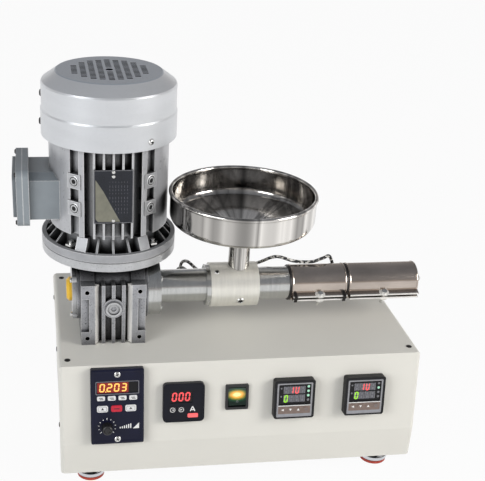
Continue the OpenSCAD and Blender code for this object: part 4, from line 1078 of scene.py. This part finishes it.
# The heater leads follow the route of their solids in woven sleeves
def spline(points, steps):
    made = []
    for i in range(len(points) - 1):
        a, b, c, d = points[max(i - 1, 0)], points[i], points[i + 1], points[min(i + 2, len(points) - 1)]
        for k in range(steps):
            t = k / steps
            made.append(b + t * (c - a) / 2 + t * t * (2 * a - 5 * b + 4 * c - d) / 2
                        + t * t * t * (3 * b - a - 3 * c + d) / 2)
    return made + [points[-1]]


def lead_sleeves():
    lead_r = 2.0
    apart = 2 * lead_r + 2
    block_w, stub = 14, 4
    block_y = AXIS_Y + HEAT_R + 4
    back = AXIS_Y + FEED_R + 2 * lead_r
    over = AXIS_Z + HEAT_R + 1.5 * lead_r
    behind = AXIS_Z - 3 * lead_r
    grommet_x, grommet_y, grommet_z = 160.0, 188.0, 5.0
    loop = [
        (HEAT2_X - block_w, AXIS_Y + HEAT_R + lead_r, AXIS_Z + HEAT_R),
        (HEAT2_X - 2 * block_w, AXIS_Y + HEAT_R / 3, over + 1.5 * lead_r),
        (HEAT1_X + 2 * block_w, AXIS_Y + HEAT_R / 5, over),
        (HEAT1_X + block_w / 2, AXIS_Y + HEAT_R / 3, over)]
    run = [
        (FRONT_X + 20.5, AXIS_Y + TUBE_R / 3, AXIS_Z + TUBE_R + lead_r + 1),
        (FRONT_X + 3 * lead_r, back, AXIS_Z + 2 * lead_r),
        (THROAT, back, behind),
        (FEED_X, back, behind),
        (FEED_X - 5 - 3 * lead_r, back, behind),
        (grommet_x, grommet_y - 6 * apart, behind - lead_r),
        (grommet_x - apart / 2, grommet_y - apart, AXIS_Z / 2)]
    shape = Shape()
    for lead, x in enumerate((HEAT1_X, HEAT2_X)):
        points = [Vector((x + 3 - i * stub, block_y, AXIS_Z)) for i in range(3)]
        if lead:
            points += [Vector(p) for p in loop]
        points += [Vector(p) + lead * apart * Vector((1, 1, 1)) for p in run[1 - lead:]]
        end_x = grommet_x + (lead - 0.5) * apart
        points += [Vector((end_x, grommet_y, grommet_z + i * stub)) for i in (2, 1, 0)]
        shape.tube(spline(points, 10), lead_r - 0.05, CABINET, braid, sides=14)
    piece = shape.made("lead_sleeves", slot="lead_sleeve", sharp=80)
    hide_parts("heater_leads")


# A welded seam down the hopper, at the back
def hopper_seam():
    shape = Shape()
    path = [(THROAT, AXIS_Y + BOWL_R, SEAM_TOP - 3 * i) for i in range(9)]
    shape.tube(path, 0.5, CABINET, hopper, sides=8)
    shape.made("hopper_seam", slot="hopper_steel")


cabinet_screws()
inlet_pins()
speed_rim()
speed_screws()
speed_display()
speed_dial_marks()
knob_grip()
membrane_keys()
meter_display()
controllers()
rocker_marks()
column_bosses()
motor_bolts()
terminal_lid_screws()
gearbox_bolts()
gearbox_fillets()
nameplate_rivets()
nameplate_painted_reflection()
feed_block_screws()
heater_beads()
heater_straps()
heater_clips()
clamp_washers()
lead_sleeves()
hopper_seam()

# Stage: a plain pale floor, which the camera and the metal both see as white, a soft sky and two lamps
FLOOR_HALF = 12
FLOOR_PALE = grey(0.6)
FLOOR_SHOWN = 0.95
SKY = [
    (0.0, WHITE), (0.14, WHITE), (0.24, (0.4, 0.35, 0.32, 1)), (0.36, (0.28, 0.285, 0.3, 1)),
    (0.7, (0.27, 0.275, 0.29, 1)), (1.0, (0.2, 0.21, 0.23, 1))]
LAMPS = [
    ("key", (1.6, -1.0, 0.9), 0.9, 25, (1.0, 0.985, 0.96)),
    ("fill", (-1.5, -1.1, 0.9), 1.0, 19, (0.97, 0.985, 1.0))]
LAMP_AIM = Vector((0, 0, 0.2))


def floor_white():
    made = bpy.data.materials.new("floor_white")
    made.use_nodes = True
    tree = made.node_tree
    tree.nodes.clear()
    out = node(tree, "ShaderNodeOutputMaterial")
    plain = node(tree, "ShaderNodeBsdfDiffuse", {"Color": FLOOR_PALE})
    lit = node(tree, "ShaderNodeEmission", {"Color": WHITE, "Strength": 1.0})
    rays = node(tree, "ShaderNodeLightPath").outputs
    seen = maths(tree, "MAXIMUM", rays["Is Camera Ray"], rays["Is Glossy Ray"])
    seen = maths(tree, "MAXIMUM", seen, rays["Is Transmission Ray"])
    mix = node(tree, "ShaderNodeMixShader")
    tree.links.new(maths(tree, "MULTIPLY", seen, FLOOR_SHOWN), mix.inputs[0])
    tree.links.new(plain.outputs[0], mix.inputs[1])
    tree.links.new(lit.outputs[0], mix.inputs[2])
    tree.links.new(mix.outputs[0], out.inputs["Surface"])
    return made


def make_floor():
    mesh = bpy.data.meshes.new("floor")
    corners = [(FLOOR_HALF * x, FLOOR_HALF * y, 0) for x, y in ((-1, -1), (1, -1), (1, 1), (-1, 1))]
    mesh.from_pydata(corners, [], [(0, 1, 2, 3)])
    mesh.materials.append(floor_white())
    floor = bpy.data.objects.new("floor", mesh)
    bpy.context.scene.collection.objects.link(floor)


def make_world():
    world = bpy.data.worlds.new("studio")
    bpy.context.scene.world = world
    world.use_nodes = True
    tree = world.node_tree
    tree.nodes.clear()
    out = node(tree, "ShaderNodeOutputWorld")
    sky = node(tree, "ShaderNodeBackground", {"Strength": 1.0})
    height = split(tree, coordinate(tree, "Generated"))["Z"]
    tree.links.new(ramp(tree, height, SKY), sky.inputs["Color"])
    tree.links.new(sky.outputs[0], out.inputs["Surface"])


def make_lamps():
    for name, place, size, watts, tint in LAMPS:
        data = bpy.data.lights.new(name, "AREA")
        data.shape = "SQUARE"
        data.size = size
        data.energy = watts
        data.color = tint
        lamp = bpy.data.objects.new(name, data)
        bpy.context.scene.collection.objects.link(lamp)
        lamp.location = place
        lamp.rotation_mode = "QUATERNION"
        lamp.rotation_quaternion = (LAMP_AIM - Vector(place)).to_track_quat("-Z", "Y")


make_floor()
make_world()
make_lamps()
